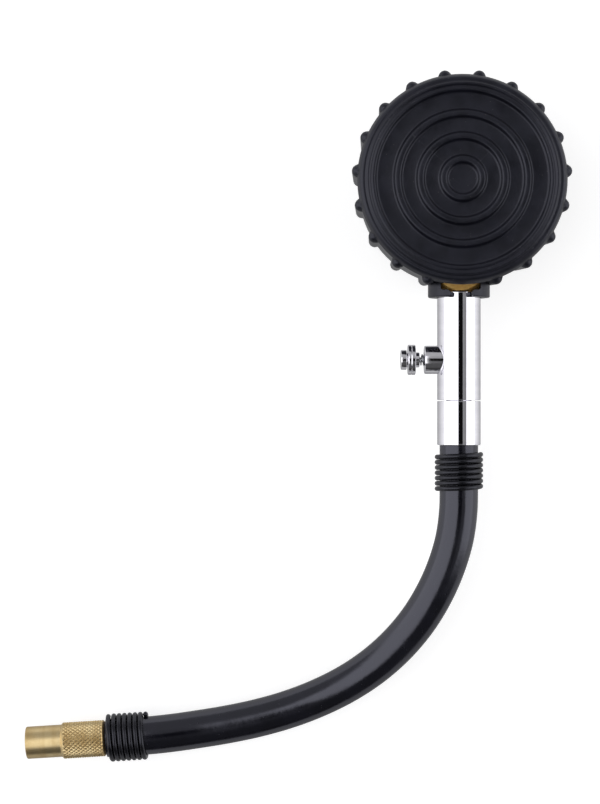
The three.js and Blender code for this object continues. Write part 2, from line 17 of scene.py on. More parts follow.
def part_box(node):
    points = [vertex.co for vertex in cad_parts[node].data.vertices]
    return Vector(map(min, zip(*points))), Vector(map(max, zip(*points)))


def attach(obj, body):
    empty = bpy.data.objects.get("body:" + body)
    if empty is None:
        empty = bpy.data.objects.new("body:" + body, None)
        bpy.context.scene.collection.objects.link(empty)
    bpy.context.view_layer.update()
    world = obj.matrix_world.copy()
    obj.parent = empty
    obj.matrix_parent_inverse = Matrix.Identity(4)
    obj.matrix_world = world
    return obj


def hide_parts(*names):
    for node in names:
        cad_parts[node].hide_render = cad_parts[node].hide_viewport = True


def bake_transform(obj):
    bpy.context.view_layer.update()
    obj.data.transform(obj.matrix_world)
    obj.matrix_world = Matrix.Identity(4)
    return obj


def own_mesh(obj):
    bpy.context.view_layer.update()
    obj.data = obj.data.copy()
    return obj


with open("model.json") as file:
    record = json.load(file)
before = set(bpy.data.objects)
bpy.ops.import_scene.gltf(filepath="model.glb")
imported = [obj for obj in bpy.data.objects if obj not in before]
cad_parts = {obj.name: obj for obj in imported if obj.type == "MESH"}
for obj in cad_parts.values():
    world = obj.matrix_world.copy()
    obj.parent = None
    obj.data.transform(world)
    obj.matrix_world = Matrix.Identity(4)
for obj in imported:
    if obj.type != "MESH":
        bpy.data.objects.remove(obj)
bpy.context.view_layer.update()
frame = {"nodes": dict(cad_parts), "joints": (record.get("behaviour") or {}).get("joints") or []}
MM = 0.001

# %% Where things are
def middle(node):
    low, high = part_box(node)
    return (low + high) / 2


HEAD = Vector((0, middle("gauge_case").y, 0))
STEM = Vector((0, HEAD.y, middle("swivel_ferrule").z))
NODES = frame["nodes"]
joint_of = {j["name"]: j for j in frame["joints"]}
CHUCK = Vector(joint_of["chuck_spin"]["pos_m"])
CHUCK_AXIS = Vector(joint_of["chuck_spin"]["axis"]).normalized()
X, Y, Z = Vector((1, 0, 0)), Vector((0, 1, 0)), Vector((0, 0, 1))
print("gauge axis", tuple(HEAD), "stem axis height", round(STEM.z / MM, 2), "mm")

# %% [markdown]
# ## The camera
# The gauge is seen from straight above with a long lens, as on a copy stand. A long lens from well back
# keeps the round head round; a short one close by would show more of its side wall than of its back.

# %% Camera
CAMERA_HEIGHT = 0.640
camera_data = bpy.data.cameras.new("camera")
camera_data.sensor_width = 36.0
camera_data.lens = 89.42
camera_data.clip_start = 0.05
camera_data.clip_end = 20.0
camera = bpy.data.objects.new("camera", camera_data)
camera.location = (-0.0494, -0.0438, CAMERA_HEIGHT)
bpy.context.scene.collection.objects.link(camera)
bpy.context.scene.camera = camera
print("camera at", tuple(round(v, 3) for v in camera.location))

# %% [markdown]
# ## The hose
# A hose is a fixed length of something springy. It leaves the ferrule straight, droops to the table under
# its own weight and lies along it up to the chuck. A curve object with a round bevel suits it, because
# the curve's own line is the hose's middle line, and its length can be measured. The line passes through
# the same points as the CAD tube.

# %% Route of the hose
HOSE_ROUTE = [
    (0, -0.0575, 0.019), (0, -0.064, 0.019), (0, -0.071, 0.019), (-0.0002, -0.078, 0.0189),
    (-0.0013, -0.0863, 0.0183), (-0.0036, -0.0946, 0.0171), (-0.0071, -0.1031, 0.0154),
    (-0.0121, -0.1119, 0.0133), (-0.0184, -0.1199, 0.0111), (-0.0258, -0.1269, 0.0091),
    (-0.0342, -0.1328, 0.0075), (-0.0432, -0.1375, 0.0065), (-0.0527, -0.1412, 0.0062),
    (-0.0625, -0.144, 0.0062), (-0.0724, -0.1461, 0.0062), (-0.0823, -0.1477, 0.0063),
    (-0.09, -0.1487, 0.0069), (-0.097, -0.14935, 0.0075), (-0.104, -0.14978, 0.00755),
    (-0.11055, -0.15018, 0.00755),
]


def smooth_route(points, per_span=8):
    """A centripetal Catmull-Rom curve through the points."""
    p = [Vector(q) for q in points]
    p = [2 * p[0] - p[1]] + p + [2 * p[-1] - p[-2]]
    line = []
    for a, b, c, d in zip(p, p[1:], p[2:], p[3:]):
        t = [0.0]
        for u, v in ((a, b), (b, c), (c, d)):
            t.append(t[-1] + math.sqrt((v - u).length))
        for k in range(per_span):
            s = t[1] + (t[2] - t[1]) * k / per_span
            ab = a.lerp(b, (s - t[0]) / (t[1] - t[0]))
            bc = b.lerp(c, (s - t[1]) / (t[2] - t[1]))
            cd = c.lerp(d, (s - t[2]) / (t[3] - t[2]))
            abc = ab.lerp(bc, (s - t[0]) / (t[2] - t[0]))
            bcd = bc.lerp(cd, (s - t[1]) / (t[3] - t[1]))
            line.append(abc.lerp(bcd, (s - t[1]) / (t[2] - t[1])))
    return line + [p[-2]]


def length_of(line):
    return sum((b - a).length for a, b in zip(line, line[1:]))


hose_line = smooth_route(HOSE_ROUTE)
HOSE_LENGTH = round(length_of(hose_line), 4)
print("hose length", round(HOSE_LENGTH / MM, 1), "mm in", len(hose_line), "points")

# %% Hose curve
HOSE_R = 6.0 * MM
HOSE_PUSH = 0.2 * MM    # the end is pushed up against the ferrule


def hose_curve():
    data = bpy.data.curves.new("hose_skin", "CURVE")
    data.dimensions = "3D"
    data.bevel_depth = HOSE_R
    data.bevel_resolution = 10
    data.use_fill_caps = True
    spline = data.splines.new("POLY")
    spline.points.add(len(hose_line) - 1)
    for point, place in zip(spline.points, hose_line):
        point.co = (*place, 1.0)
    spline.points[0].co.y += HOSE_PUSH
    spline.use_smooth = True
    skin = bpy.data.objects.new("hose_skin", data)
    bpy.context.scene.collection.objects.link(skin)
    return skin


hose = hose_curve()
print("hose curve:", len(hose.data.splines[0].points), "points,", round(2 * HOSE_R / MM, 1), "mm across")

# %% [markdown]
# ## Turned pieces
# Nearly everything here came off a lathe, so one helper does most of the work: it spins an outline of
# radius and height round any axis. Blender's Screw modifier could do that, but a small function can also
# soften every corner of the outline with an arc, and let a second function push the surface in or out,
# which makes ribs and knurls.

# %% Soft corners for an outline
def soften(outline, radius, steps=3, closed=False):
    """Rounds the corners of a (radius, height) outline, in mm. A third number is a corner's own radius."""
    reaches = [p[2] if len(p) > 2 else radius for p in outline]
    points = [Vector(p[:2]) for p in outline]
    count = len(points)
    made = []
    for i, here in enumerate(points):
        at_end = i in (0, count - 1)
        if at_end and not closed:
            made.append(here)
            continue
        before, after = points[i - 1], points[(i + 1) % count]
        back, on = before - here, after - here
        reach = min(reaches[i], 0.45 * back.length, 0.45 * on.length)
        straight = abs(back.normalized().cross(on.normalized())) < 0.02 if reach > 0 else True
        if straight:
            made.append(here)
            continue
        start, end = here + back.normalized() * reach, here + on.normalized() * reach
        for k in range(steps + 1):
            t = k / steps
            made.append(start * (1 - t) ** 2 + here * 2 * t * (1 - t) + end * t ** 2)
    return [(p.x, p.y) for p in made]


print("one softened corner has", len(soften([(0, 0), (1, 0), (1, 1)], 0.2)) - 2, "points")

# %% Spin an outline into a mesh
def new_object(name, verts, faces, sharp=32.0):
    mesh = bpy.data.meshes.new(name)
    mesh.from_pydata([tuple(v) for v in verts], [], faces)
    mesh.validate()
    mesh.update()
    mesh.polygons.foreach_set("use_smooth", [True] * len(mesh.polygons))
    mesh.set_sharp_from_angle(angle=math.radians(sharp))
    piece = bpy.data.objects.new(name, mesh)
    bpy.context.scene.collection.objects.link(piece)
    return piece


def spun(name, outline, at, along, turns=96, closed=False, push=None, sharp=32.0):
    """Spins an outline in mm round the axis `along` through `at`. push(r, h, angle) moves the surface."""
    flow = sum(r * h2 - r2 * h for (r, h), (r2, h2) in zip(outline, outline[1:] + outline[:1]))
    outline = outline if flow > 0 else outline[::-1]
    angles = np.arange(turns) * 2 * math.pi / turns if isinstance(turns, int) else np.asarray(turns)
    count = len(angles)
    side = X if abs(along[2]) > 0.9 else Z
    across = Vector(along).cross(side)
    verts, rings = [], []
    for r, h in outline:
        if r < 1e-6:
            rings.append([len(verts)])
            verts.append(at + along * (h * MM))
            continue
        rings.append(list(range(len(verts), len(verts) + count)))
        for a in angles:
            reach = (push(r, h, a) if push else r) * MM
            spot = at + side * (reach * math.cos(a)) + across * (reach * math.sin(a))
            verts.append(spot + along * (h * MM))
    faces = []
    pairs = list(zip(rings, rings[1:] + rings[:1])) if closed else list(zip(rings, rings[1:]))
    for low, high in pairs:
        for i in range(count):
            j = (i + 1) % count
            if len(low) == 1 and len(high) == 1:
                continue
            if len(low) == 1:
                faces.append((low[0], high[j], high[i]))
            elif len(high) == 1:
                faces.append((low[i], low[j], high[0]))
            else:
                faces.append((low[i], low[j], high[j], high[i]))
    return new_object(name, verts, faces, sharp)


print("spun() turns an outline into a mesh")

# %% [markdown]
# ## Wire
# The clamps and the small valve springs are round wire wound into coils. A coil is a circle carried along
# a helix; writing the sweep out gives closed, rounded ends, which a bevelled curve object does not have.

# %% Sweep a round wire
def wire(name, path, radius, sides=10):
    """A round bar along a list of points, with domed ends."""
    path = [Vector(p) for p in path]
    tangents = [(b - a).normalized() for a, b in zip(path, path[1:])]
    tangents = [tangents[0]] + [(s + t).normalized() for s, t in zip(tangents, tangents[1:])] + [tangents[-1]]
    normal = tangents[0].orthogonal().normalized()
    stations = []
    for place, tangent in zip(path, tangents):
        normal = (normal - tangent * normal.dot(tangent)).normalized()
        stations.append((place, tangent, normal.copy(), radius))
    dome = [(math.sin(a) * radius, math.cos(a) * radius) for a in (1.3, 0.9, 0.5)]
    first, last = stations[0], stations[-1]
    start = [(first[0] - first[1] * out, first[1], first[2], r) for out, r in dome]
    end = [(last[0] + last[1] * out, last[1], last[2], r) for out, r in dome]
    stations = start + stations + end[::-1]
    verts, faces = [], []
    for place, tangent, normal, r in stations:
        other = tangent.cross(normal)
        for k in range(sides):
            a = 2 * math.pi * k / sides
            verts.append(place + (normal * math.cos(a) + other * math.sin(a)) * r)
    for s in range(len(stations) - 1):
        for k in range(sides):
            n = (k + 1) % sides
            faces.append((s * sides + k, s * sides + n, (s + 1) * sides + n, (s + 1) * sides + k))
    verts.append(path[0] - tangents[0] * radius)
    verts.append(path[-1] + tangents[-1] * radius)
    tail = (len(stations) - 1) * sides
    for k in range(sides):
        n = (k + 1) % sides
        faces.append((len(verts) - 2, n, k))
        faces.append((len(verts) - 1, tail + k, tail + n))
    return new_object(name, verts, faces, 60.0)


def helix(at, along, side, radius, turns, pitch, per_turn=28, phase=0.0):
    """Points of a coil round the axis `along`, in metres."""
    across = Vector(along).cross(side)
    points = []
    for k in range(int(turns * per_turn) + 1):
        a = phase + 2 * math.pi * k / per_turn
        out = side * math.cos(a) + across * math.sin(a)
        points.append(at + out * radius + along * (pitch * k / per_turn))
    return points


print("helpers for turned pieces and wire are ready")

# %% [markdown]
# ## Shared surface effects
# Rubber, chrome and brass differ in colour, but the same small things happen to all of them: a fine
# grain, finger marks that change the gloss, lathe lines round a turned face, rubbed edges, and a little
# dust. Each is a node group with its own inputs, placed in a material with the values that suit it. The
# groups only give out masks, colours and heights, so that the shader itself stays where it can be read.

# %% Node helpers
def new_group(name, inputs, outputs):
    tree = bpy.data.node_groups.new(name, "ShaderNodeTree")
    for socket, value in inputs.items():
        kind = "NodeSocketVector" if isinstance(value, tuple) else "NodeSocketFloat"
        tree.interface.new_socket(socket, in_out="INPUT", socket_type=kind).default_value = value
    for socket in outputs:
        tree.interface.new_socket(socket, in_out="OUTPUT", socket_type="NodeSocketFloat")
    return tree, tree.nodes.new("NodeGroupInput"), tree.nodes.new("NodeGroupOutput")


def wire_up(tree, source, target, socket):
    """Puts a number, a colour or another node's output into a socket."""
    if isinstance(source, bpy.types.NodeSocket):
        tree.links.new(source, target.inputs[socket])
    else:
        target.inputs[socket].default_value = source


def calc(tree, operation, a, b=0.0, clamp=False):
    node = tree.nodes.new("ShaderNodeMath")
    node.operation = operation
    node.use_clamp = clamp
    wire_up(tree, a, node, 0)
    wire_up(tree, b, node, 1)
    return node.outputs[0]


def noise(tree, where, scale, detail=2.0, roughness=0.5):
    node = tree.nodes.new("ShaderNodeTexNoise")
    wire_up(tree, where, node, "Vector")
    wire_up(tree, scale, node, "Scale")
    node.inputs["Detail"].default_value = detail
    node.inputs["Roughness"].default_value = roughness
    return node.outputs["Fac"]


def spread(tree, value, low, high, out_low=0.0, out_high=1.0):
    """Stretches the range low..high of a value to out_low..out_high, with soft ends."""
    node = tree.nodes.new("ShaderNodeMapRange")
    node.interpolation_type = "SMOOTHSTEP"
    for socket, number in (("From Min", low), ("From Max", high), ("To Min", out_low), ("To Max", out_high)):
        wire_up(tree, number, node, socket)
    wire_up(tree, value, node, "Value")
    return node.outputs["Result"]


def place_of(tree):
    return tree.nodes.new("ShaderNodeTexCoord").outputs["Object"]


def tell(group):
    given_out = [item.name for item in group.interface.items_tree if item.in_out == "OUTPUT"]
    print(group.name, "gives", ", ".join(given_out))


# %% Grain: the fine skin of moulded rubber or blasted metal
def make_grain():
    tree, given, out = new_group("grain", {"Size mm": 0.2, "Blotch mm": 4.0}, ["Height", "Blotch"])
    where = place_of(tree)
    fine = noise(tree, where, calc(tree, "DIVIDE", 1000.0, given.outputs["Size mm"]), 3.0, 0.65)
    pores = tree.nodes.new("ShaderNodeTexVoronoi")
    wire_up(tree, where, pores, "Vector")
    wire_up(tree, calc(tree, "DIVIDE", 600.0, given.outputs["Size mm"]), pores, "Scale")
    pits = calc(tree, "MULTIPLY", spread(tree, pores.outputs["Distance"], 0.0, 0.35, 1.0, 0.0), 0.3)
    wire_up(tree, calc(tree, "SUBTRACT", fine, pits), out, "Height")
    blotch = noise(tree, where, calc(tree, "DIVIDE", 1000.0, given.outputs["Blotch mm"]), 4.0, 0.6)
    wire_up(tree, spread(tree, blotch, 0.35, 0.65), out, "Blotch")
    return tree


GRAIN = make_grain()
tell(GRAIN)


# %% Handling: smudges and fine scratches that change the gloss
def make_handling():
    tree, given, out = new_group("handling", {"Size mm": 9.0, "Scratch mm": 0.6}, ["Smudge", "Scratch"])
    where = place_of(tree)
    soft = noise(tree, where, calc(tree, "DIVIDE", 1000.0, given.outputs["Size mm"]), 3.0, 0.6)
    fine = noise(tree, where, calc(tree, "DIVIDE", 9000.0, given.outputs["Size mm"]), 2.0, 0.5)
    smudge = calc(tree, "ADD", calc(tree, "MULTIPLY", soft, 0.75), calc(tree, "MULTIPLY", fine, 0.25))
    wire_up(tree, spread(tree, smudge, 0.38, 0.68), out, "Smudge")
    stretch = tree.nodes.new("ShaderNodeMapping")
    stretch.inputs["Rotation"].default_value = (0.5, 0.3, 0.8)
    stretch.inputs["Scale"].default_value = (1.0, 0.04, 0.3)
    wire_up(tree, where, stretch, "Vector")
    per_metre = calc(tree, "DIVIDE", 1000.0, given.outputs["Scratch mm"])
    lines = noise(tree, stretch.outputs[0], per_metre, 2.0, 0.7)
    wire_up(tree, spread(tree, lines, 0.66, 0.76), out, "Scratch")
    return tree


HANDLING = make_handling()
tell(HANDLING)


# %% Lathe lines: fine rings round the axis that a piece was turned on
def make_lathe_lines():
    inputs = {"Centre": (0.0, 0.0, 0.0), "Axis": (0.0, 1.0, 0.0), "Pitch mm": 0.12}
    tree, given, out = new_group("lathe_lines", inputs, ["Height", "Band"])
    away = tree.nodes.new("ShaderNodeVectorMath")
    away.operation = "SUBTRACT"
    wire_up(tree, place_of(tree), away, 0)
    wire_up(tree, given.outputs["Centre"], away, 1)
    along = tree.nodes.new("ShaderNodeVectorMath")
    along.operation = "DOT_PRODUCT"
    wire_up(tree, away.outputs[0], along, 0)
    wire_up(tree, given.outputs["Axis"], along, 1)
    far = tree.nodes.new("ShaderNodeVectorMath")
    far.operation = "LENGTH"
    wire_up(tree, away.outputs[0], far, 0)
    length, reach = far.outputs["Value"], along.outputs["Value"]
    length_squared = calc(tree, "MULTIPLY", length, length)
    out_squared = calc(tree, "SUBTRACT", length_squared, calc(tree, "MULTIPLY", reach, reach))
    radius = calc(tree, "SQRT", calc(tree, "MAXIMUM", out_squared, 0.0))
    spot = tree.nodes.new("ShaderNodeCombineXYZ")
    wire_up(tree, reach, spot, "X")
    wire_up(tree, radius, spot, "Y")
    per_metre = calc(tree, "DIVIDE", 1000.0, given.outputs["Pitch mm"])
    wire_up(tree, noise(tree, spot.outputs[0], per_metre, 2.0, 0.6), out, "Height")
    wide = noise(tree, spot.outputs[0], calc(tree, "MULTIPLY", per_metre, 0.12), 2.0, 0.5)
    wire_up(tree, spread(tree, wide, 0.35, 0.65), out, "Band")
    return tree


LATHE_LINES = make_lathe_lines()
tell(LATHE_LINES)


# %% Wear and hollows: where an edge is rubbed, and where a surface lies in a hollow
def make_wear():
    tree, given, out = new_group("wear", {"Reach": 0.06, "Break mm": 0.8}, ["Edge", "Hollow"])
    point = tree.nodes.new("ShaderNodeNewGeometry").outputs["Pointiness"]
    patchy = noise(tree, place_of(tree), calc(tree, "DIVIDE", 1000.0, given.outputs["Break mm"]), 3.0, 0.6)
    broken = spread(tree, patchy, 0.35, 0.6)
    edge_end = calc(tree, "ADD", 0.55, given.outputs["Reach"])
    edge = spread(tree, point, 0.55, edge_end)
    wire_up(tree, calc(tree, "MULTIPLY", edge, broken), out, "Edge")
    hollow_end = calc(tree, "SUBTRACT", 0.48, given.outputs["Reach"])
    wire_up(tree, spread(tree, point, hollow_end, 0.48, 1.0, 0.0), out, "Hollow")
    return tree


WEAR = make_wear()
tell(WEAR)


# %% Dust: sparse pale specks, more of them on faces that look up
def make_dust():
    tree, given, out = new_group("dust", {"Size mm": 0.35, "Amount": 0.2}, ["Mask"])
    cells = tree.nodes.new("ShaderNodeTexVoronoi")
    wire_up(tree, place_of(tree), cells, "Vector")
    wire_up(tree, calc(tree, "DIVIDE", 400.0, given.outputs["Size mm"]), cells, "Scale")
    cells.inputs["Randomness"].default_value = 1.0
    dot = spread(tree, cells.outputs["Distance"], 0.05, 0.22, 1.0, 0.0)
    split = tree.nodes.new("ShaderNodeSeparateColor")
    wire_up(tree, cells.outputs["Color"], split, "Color")
    chosen = calc(tree, "LESS_THAN", split.outputs[0], given.outputs["Amount"])
    facing = tree.nodes.new("ShaderNodeSeparateXYZ")
    wire_up(tree, tree.nodes.new("ShaderNodeNewGeometry").outputs["Normal"], facing, "Vector")
    up = spread(tree, facing.outputs["Z"], -0.2, 0.9)
    wire_up(tree, calc(tree, "MULTIPLY", calc(tree, "MULTIPLY", dot, chosen), up), out, "Mask")
    return tree


DUST = make_dust()
tell(DUST)

# %% [markdown]
# ## Materials
# Each finish starts from the Principled shader. A helper makes the shader and a little kit for placing
# the shared groups, mixing colours and adding bumps; each material then reads like a recipe.

# %% A kit for writing a material
class Finish:
    def __init__(self, name, **plain):
        self.material = bpy.data.materials.new(name)
        self.material.use_nodes = True
        self.tree = self.material.node_tree
        self.shader = self.tree.nodes["Principled BSDF"]
        for socket, value in plain.items():
            self.shader.inputs[socket.replace("_", " ")].default_value = value

    def effect(self, group, **values):
        node = self.tree.nodes.new("ShaderNodeGroup")
        node.node_tree = group
        for socket, value in values.items():
            node.inputs[socket.replace("_", " ")].default_value = value
        return node.outputs

    def calc(self, operation, a, b=0.0, clamp=False):
        return calc(self.tree, operation, a, b, clamp)

    def mix(self, amount, one, other):
        """Blends from colour one to colour other by the amount."""
        node = self.tree.nodes.new("ShaderNodeMix")
        node.data_type = "RGBA"
        wire_up(self.tree, amount, node, "Factor")
        for slot, colour in ((6, one), (7, other)):
            wire_up(self.tree, colour, node, slot)
        return node.outputs[2]

    def sum(self, start, *parts):
        """start plus each value times its share."""
        for value, share in parts:
            start = calc(self.tree, "ADD", start, calc(self.tree, "MULTIPLY", value, share))
        return start

    def set(self, socket, source):
        wire_up(self.tree, source, self.shader, socket)

    def bump(self, *heights):
        """Stacks bumps; each is (height, depth in mm)."""
        last = None
        for height, depth in heights:
            node = self.tree.nodes.new("ShaderNodeBump")
            node.inputs["Strength"].default_value = 1.0
            node.inputs["Distance"].default_value = depth * MM
            wire_up(self.tree, height, node, "Height")
            if last:
                wire_up(self.tree, last, node, "Normal")
            last = node.outputs[0]
        self.set("Normal", last)


print("Finish() starts a material")


# %% Colours as a screen shows them
def rgb(red, green, blue):
    """A colour from 0-255 screen values."""
    def linear(c):
        c = c / 255
        return c / 12.92 if c <= 0.04045 else ((c + 0.055) / 1.055) ** 2.4
    return (linear(red), linear(green), linear(blue), 1.0)


print("screen grey 128 is", round(rgb(128, 128, 128)[0], 3), "in linear light")


# %% Rubber: the boot, the hose and the seals
COOL = (0.84, 0.85, 1.0, 1.0)
print("tint of the rubber's sheen:", COOL[:3])


def boot_rubber():
    f = Finish("boot_rubber", Specular_IOR_Level=0.52, Specular_Tint=COOL)
    grain = f.effect(GRAIN, Size_mm=0.16, Blotch_mm=6.0)
    wear = f.effect(WEAR, Reach=0.07, Break_mm=1.4)
    hands = f.effect(HANDLING, Size_mm=11.0, Scratch_mm=0.5)
    dust = f.effect(DUST, Size_mm=0.30, Amount=0.06)
    base = f.mix(grain["Blotch"], rgb(11, 12, 19), rgb(17, 18, 27))
    rubbed = f.mix(f.calc("MULTIPLY", wear["Edge"], 0.5), base, rgb(58, 58, 64))
    dusty = f.mix(f.calc("MULTIPLY", dust["Mask"], 0.35), rubbed, rgb(128, 124, 118))
    f.set("Base Color", dusty)
    f.set("Roughness", f.sum(0.35, (grain["Blotch"], 0.05), (hands["Smudge"], -0.07), (wear["Edge"], -0.06)))
    f.bump((grain["Height"], 0.012), (hands["Scratch"], 0.004))
    return f.material


def hose_rubber():
    f = Finish("hose_rubber", Specular_IOR_Level=0.88, Specular_Tint=COOL)
    grain = f.effect(GRAIN, Size_mm=0.35, Blotch_mm=9.0)
    hands = f.effect(HANDLING, Size_mm=14.0, Scratch_mm=0.7)
    dust = f.effect(DUST, Size_mm=0.28, Amount=0.06)
    base = f.mix(grain["Blotch"], rgb(10, 10, 16), rgb(14, 14, 22))
    f.set("Base Color", f.mix(f.calc("MULTIPLY", dust["Mask"], 0.3), base, rgb(120, 120, 124)))
    uneven = f.sum(0.15, (grain["Blotch"], 0.03), (hands["Smudge"], 0.06), (hands["Scratch"], 0.10))
    f.set("Roughness", uneven)
    f.bump((grain["Height"], 0.006), (grain["Blotch"], 0.03))
    return f.material


def seal_rubber():
    f = Finish("seal_rubber")
    grain = f.effect(GRAIN, Size_mm=0.12, Blotch_mm=2.0)
    f.set("Base Color", f.mix(grain["Blotch"], rgb(22, 22, 22), rgb(36, 35, 34)))
    f.set("Roughness", f.sum(0.48, (grain["Blotch"], 0.12)))
    f.bump((grain["Height"], 0.008))
    return f.material


# %% Metals: chrome, steel, spring wire and two brasses
def turned_metal(name, light, dark, rough, centre, axis, pitch, line_depth, smudge, hollow_tone=None):
    """Metal turned on the axis through centre. Pitch and depth of its lathe lines are in millimetres."""
    f = Finish(name, Metallic=1.0)
    lines = f.effect(LATHE_LINES, Centre=tuple(centre), Axis=tuple(axis), Pitch_mm=pitch)
    hands = f.effect(HANDLING, Size_mm=6.0, Scratch_mm=0.35)
    wear = f.effect(WEAR, Reach=0.08, Break_mm=0.5)
    tone = f.mix(f.sum(0.0, (lines["Band"], 0.45), (hands["Smudge"], 0.55)), light, dark)
    # darker towards the given hollow colour where the surface lies in a hollow
    tone = f.mix(f.calc("MULTIPLY", wear["Hollow"], 0.6), tone, hollow_tone or dark)
    f.set("Base Color", tone)
    uneven = f.sum(rough, (hands["Smudge"], smudge), (hands["Scratch"], smudge), (lines["Band"], smudge / 2))
    f.set("Roughness", uneven)
    f.bump((lines["Height"], line_depth), (hands["Scratch"], line_depth))
    return f.material


def spring_wire():
    f = Finish("black_spring", Specular_IOR_Level=0.55, Specular_Tint=COOL)
    grain = f.effect(GRAIN, Size_mm=0.1, Blotch_mm=1.2)
    hands = f.effect(HANDLING, Size_mm=3.0, Scratch_mm=0.3)
    base = f.mix(grain["Blotch"], rgb(7, 7, 9), rgb(13, 13, 16))
    f.set("Base Color", f.mix(f.calc("MULTIPLY", hands["Scratch"], 0.3), base, rgb(70, 70, 72)))
    f.set("Roughness", f.sum(0.20, (grain["Blotch"], 0.08), (hands["Smudge"], 0.06)))
    f.bump((grain["Height"], 0.001))
    return f.material


CHROME = (rgb(244, 243, 247), rgb(232, 231, 237))
BRASS = (rgb(250, 214, 136), rgb(228, 184, 106))
PALE_BRASS = (rgb(224, 202, 154), rgb(204, 176, 124))
STEEL = (rgb(196, 198, 202), rgb(160, 162, 166))
CHROME_HOLLOW, BRASS_HOLLOW, CHUCK_HOLLOW = rgb(120, 108, 90), rgb(120, 84, 40), rgb(104, 74, 42)
VALVE = Vector((0, middle("bleed_valve_body").y, STEM.z))
finishes = {
    "boot_rubber": boot_rubber(),
    "hose_rubber": hose_rubber(),
    "seal_rubber": seal_rubber(),
    "black_spring": spring_wire(),
    "chrome": turned_metal("chrome", *CHROME, 0.035, STEM, Y, 0.25, 0.0001, 0.03),
    "valve_chrome": turned_metal("valve_chrome", *CHROME, 0.06, VALVE, X, 0.2, 0.0003, 0.05, CHROME_HOLLOW),
    "steel": turned_metal("steel", *STEEL, 0.28, HEAD, Z, 0.3, 0.0006, 0.08),
    "brass": turned_metal("brass", *BRASS, 0.62, STEM, Y, 0.2, 0.0012, 0.10, BRASS_HOLLOW),
    "plate_brass": turned_metal("plate_brass", *BRASS, 0.32, HEAD, Z, 0.25, 0.0008, 0.08),
    "pale_brass": turned_metal(
        "pale_brass", *PALE_BRASS, 0.33, CHUCK, CHUCK_AXIS, 0.22, 0.0012, 0.08, CHUCK_HOLLOW),
}
print(len(finishes), "finishes so far")


# %% Paints and the clear lens
def paint(name, light, dark, rough, grain_mm=0.5):
    f = Finish(name)
    grain = f.effect(GRAIN, Size_mm=grain_mm, Blotch_mm=5.0)
    hands = f.effect(HANDLING, Size_mm=5.0, Scratch_mm=0.4)
    f.set("Base Color", f.mix(grain["Blotch"], light, dark))
    f.set("Roughness", f.sum(rough, (hands["Smudge"], 0.08), (grain["Blotch"], 0.04)))
    f.bump((grain["Height"], 0.003))
    return f.material


def clear_lens():
    f = Finish("clear_lens", Alpha=0.16, IOR=1.49)
    hands = f.effect(HANDLING, Size_mm=8.0, Scratch_mm=0.5)
    dust = f.effect(DUST, Size_mm=0.25, Amount=0.1)
    f.set("Base Color", f.mix(dust["Mask"], rgb(236, 242, 244), rgb(200, 200, 196)))
    f.set("Roughness", f.sum(0.03, (hands["Smudge"], 0.05), (hands["Scratch"], 0.15)))
    return f.material


finishes["dial_paint"] = paint("dial_paint", rgb(240, 240, 234), rgb(232, 231, 224), 0.42)
finishes["dial_ink"] = paint("dial_ink", rgb(22, 22, 24), rgb(34, 34, 36), 0.38)
finishes["pointer_paint"] = paint("pointer_paint", rgb(186, 34, 26), rgb(166, 26, 22), 0.34)
finishes["clear_lens"] = clear_lens()
print("finishes:", ", ".join(sorted(finishes)))

# %% [markdown]
# ## Cutting and joining
# Some pieces are turned and then drilled or filed. The Boolean modifier does that to a mesh, and its
# Manifold solver is quick on the closed shapes made here. A last helper puts each finished piece where it
# belongs: it gives it its finish, lets it ride on its CAD body, and hides the plain CAD nodes that it
# stands for.

# %% Carve, merge and place
def at_head(x, y, z):
    """A point in millimetres from the foot of the gauge's own axis."""
    return HEAD + Vector((x, y, z)) * MM


def worked(piece, tool, operation="DIFFERENCE", sharp=32.0):
    """Cuts a piece with a tool, joins the two, or keeps what they share. The tool is used up."""
    step = piece.modifiers.new("step", "BOOLEAN")
    step.operation = operation
    step.solver = "MANIFOLD"
    step.object = tool
    bpy.context.view_layer.update()
    mesh = bpy.data.meshes.new_from_object(piece.evaluated_get(bpy.context.evaluated_depsgraph_get()))
    piece.modifiers.remove(step)
    bpy.data.objects.remove(tool)
    piece.data = mesh
    mesh.polygons.foreach_set("use_smooth", [True] * len(mesh.polygons))
    mesh.set_sharp_from_angle(angle=math.radians(sharp))
    return piece


def rod(at, along, radius, start, end, turns=64):
    return spun("rod", [(0, start), (radius, start), (radius, end), (0, end)], at, along, turns)


def prism(name, corners, low, high):
    """A flat shape of (x, y) corners from the gauge's axis, standing from height low to high, in mm."""
    area = sum(x * y2 - x2 * y for (x, y), (x2, y2) in zip(corners, corners[1:] + corners[:1]))
    corners = corners if area > 0 else corners[::-1]
    count = len(corners)
    verts = [at_head(x, y, z) for z in (low, high) for x, y in corners]
    faces = [tuple(range(count))[::-1], tuple(range(count, 2 * count))]
    faces += [(i, (i + 1) % count, count + (i + 1) % count, count + i) for i in range(count)]
    return new_object(name, verts, faces)


def block(x0, x1, y0, y1, z0, z1):
    return prism("block", [(x0, y0), (x1, y0), (x1, y1), (x0, y1)], z0, z1)


def place(piece, body, finish, *nodes):
    piece.data.materials.clear()
    piece.data.materials.append(finishes[finish])
    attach(piece, body)
    if nodes:
        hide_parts(*nodes)
    faces = f"{len(piece.data.polygons)} faces" if piece.type == "MESH" else "a curve"
    print(f"{piece.name}: {faces}, rides on {body}")
    return piece


place(hose, "hose_end", "hose_rubber", "hose")

# %% [markdown]
# ## The rubber boot
# A moulded boot protects the gauge when it is dropped: a thick wall with round ribs for the fingers, a
# rolled rim, and raised rings on the back. It is one moulding, so it is one mesh: an outline with soft
# corners is spun, and the wall is pushed out where a rib stands. The columns crowd together at each rib,
# where the surface turns quickly.

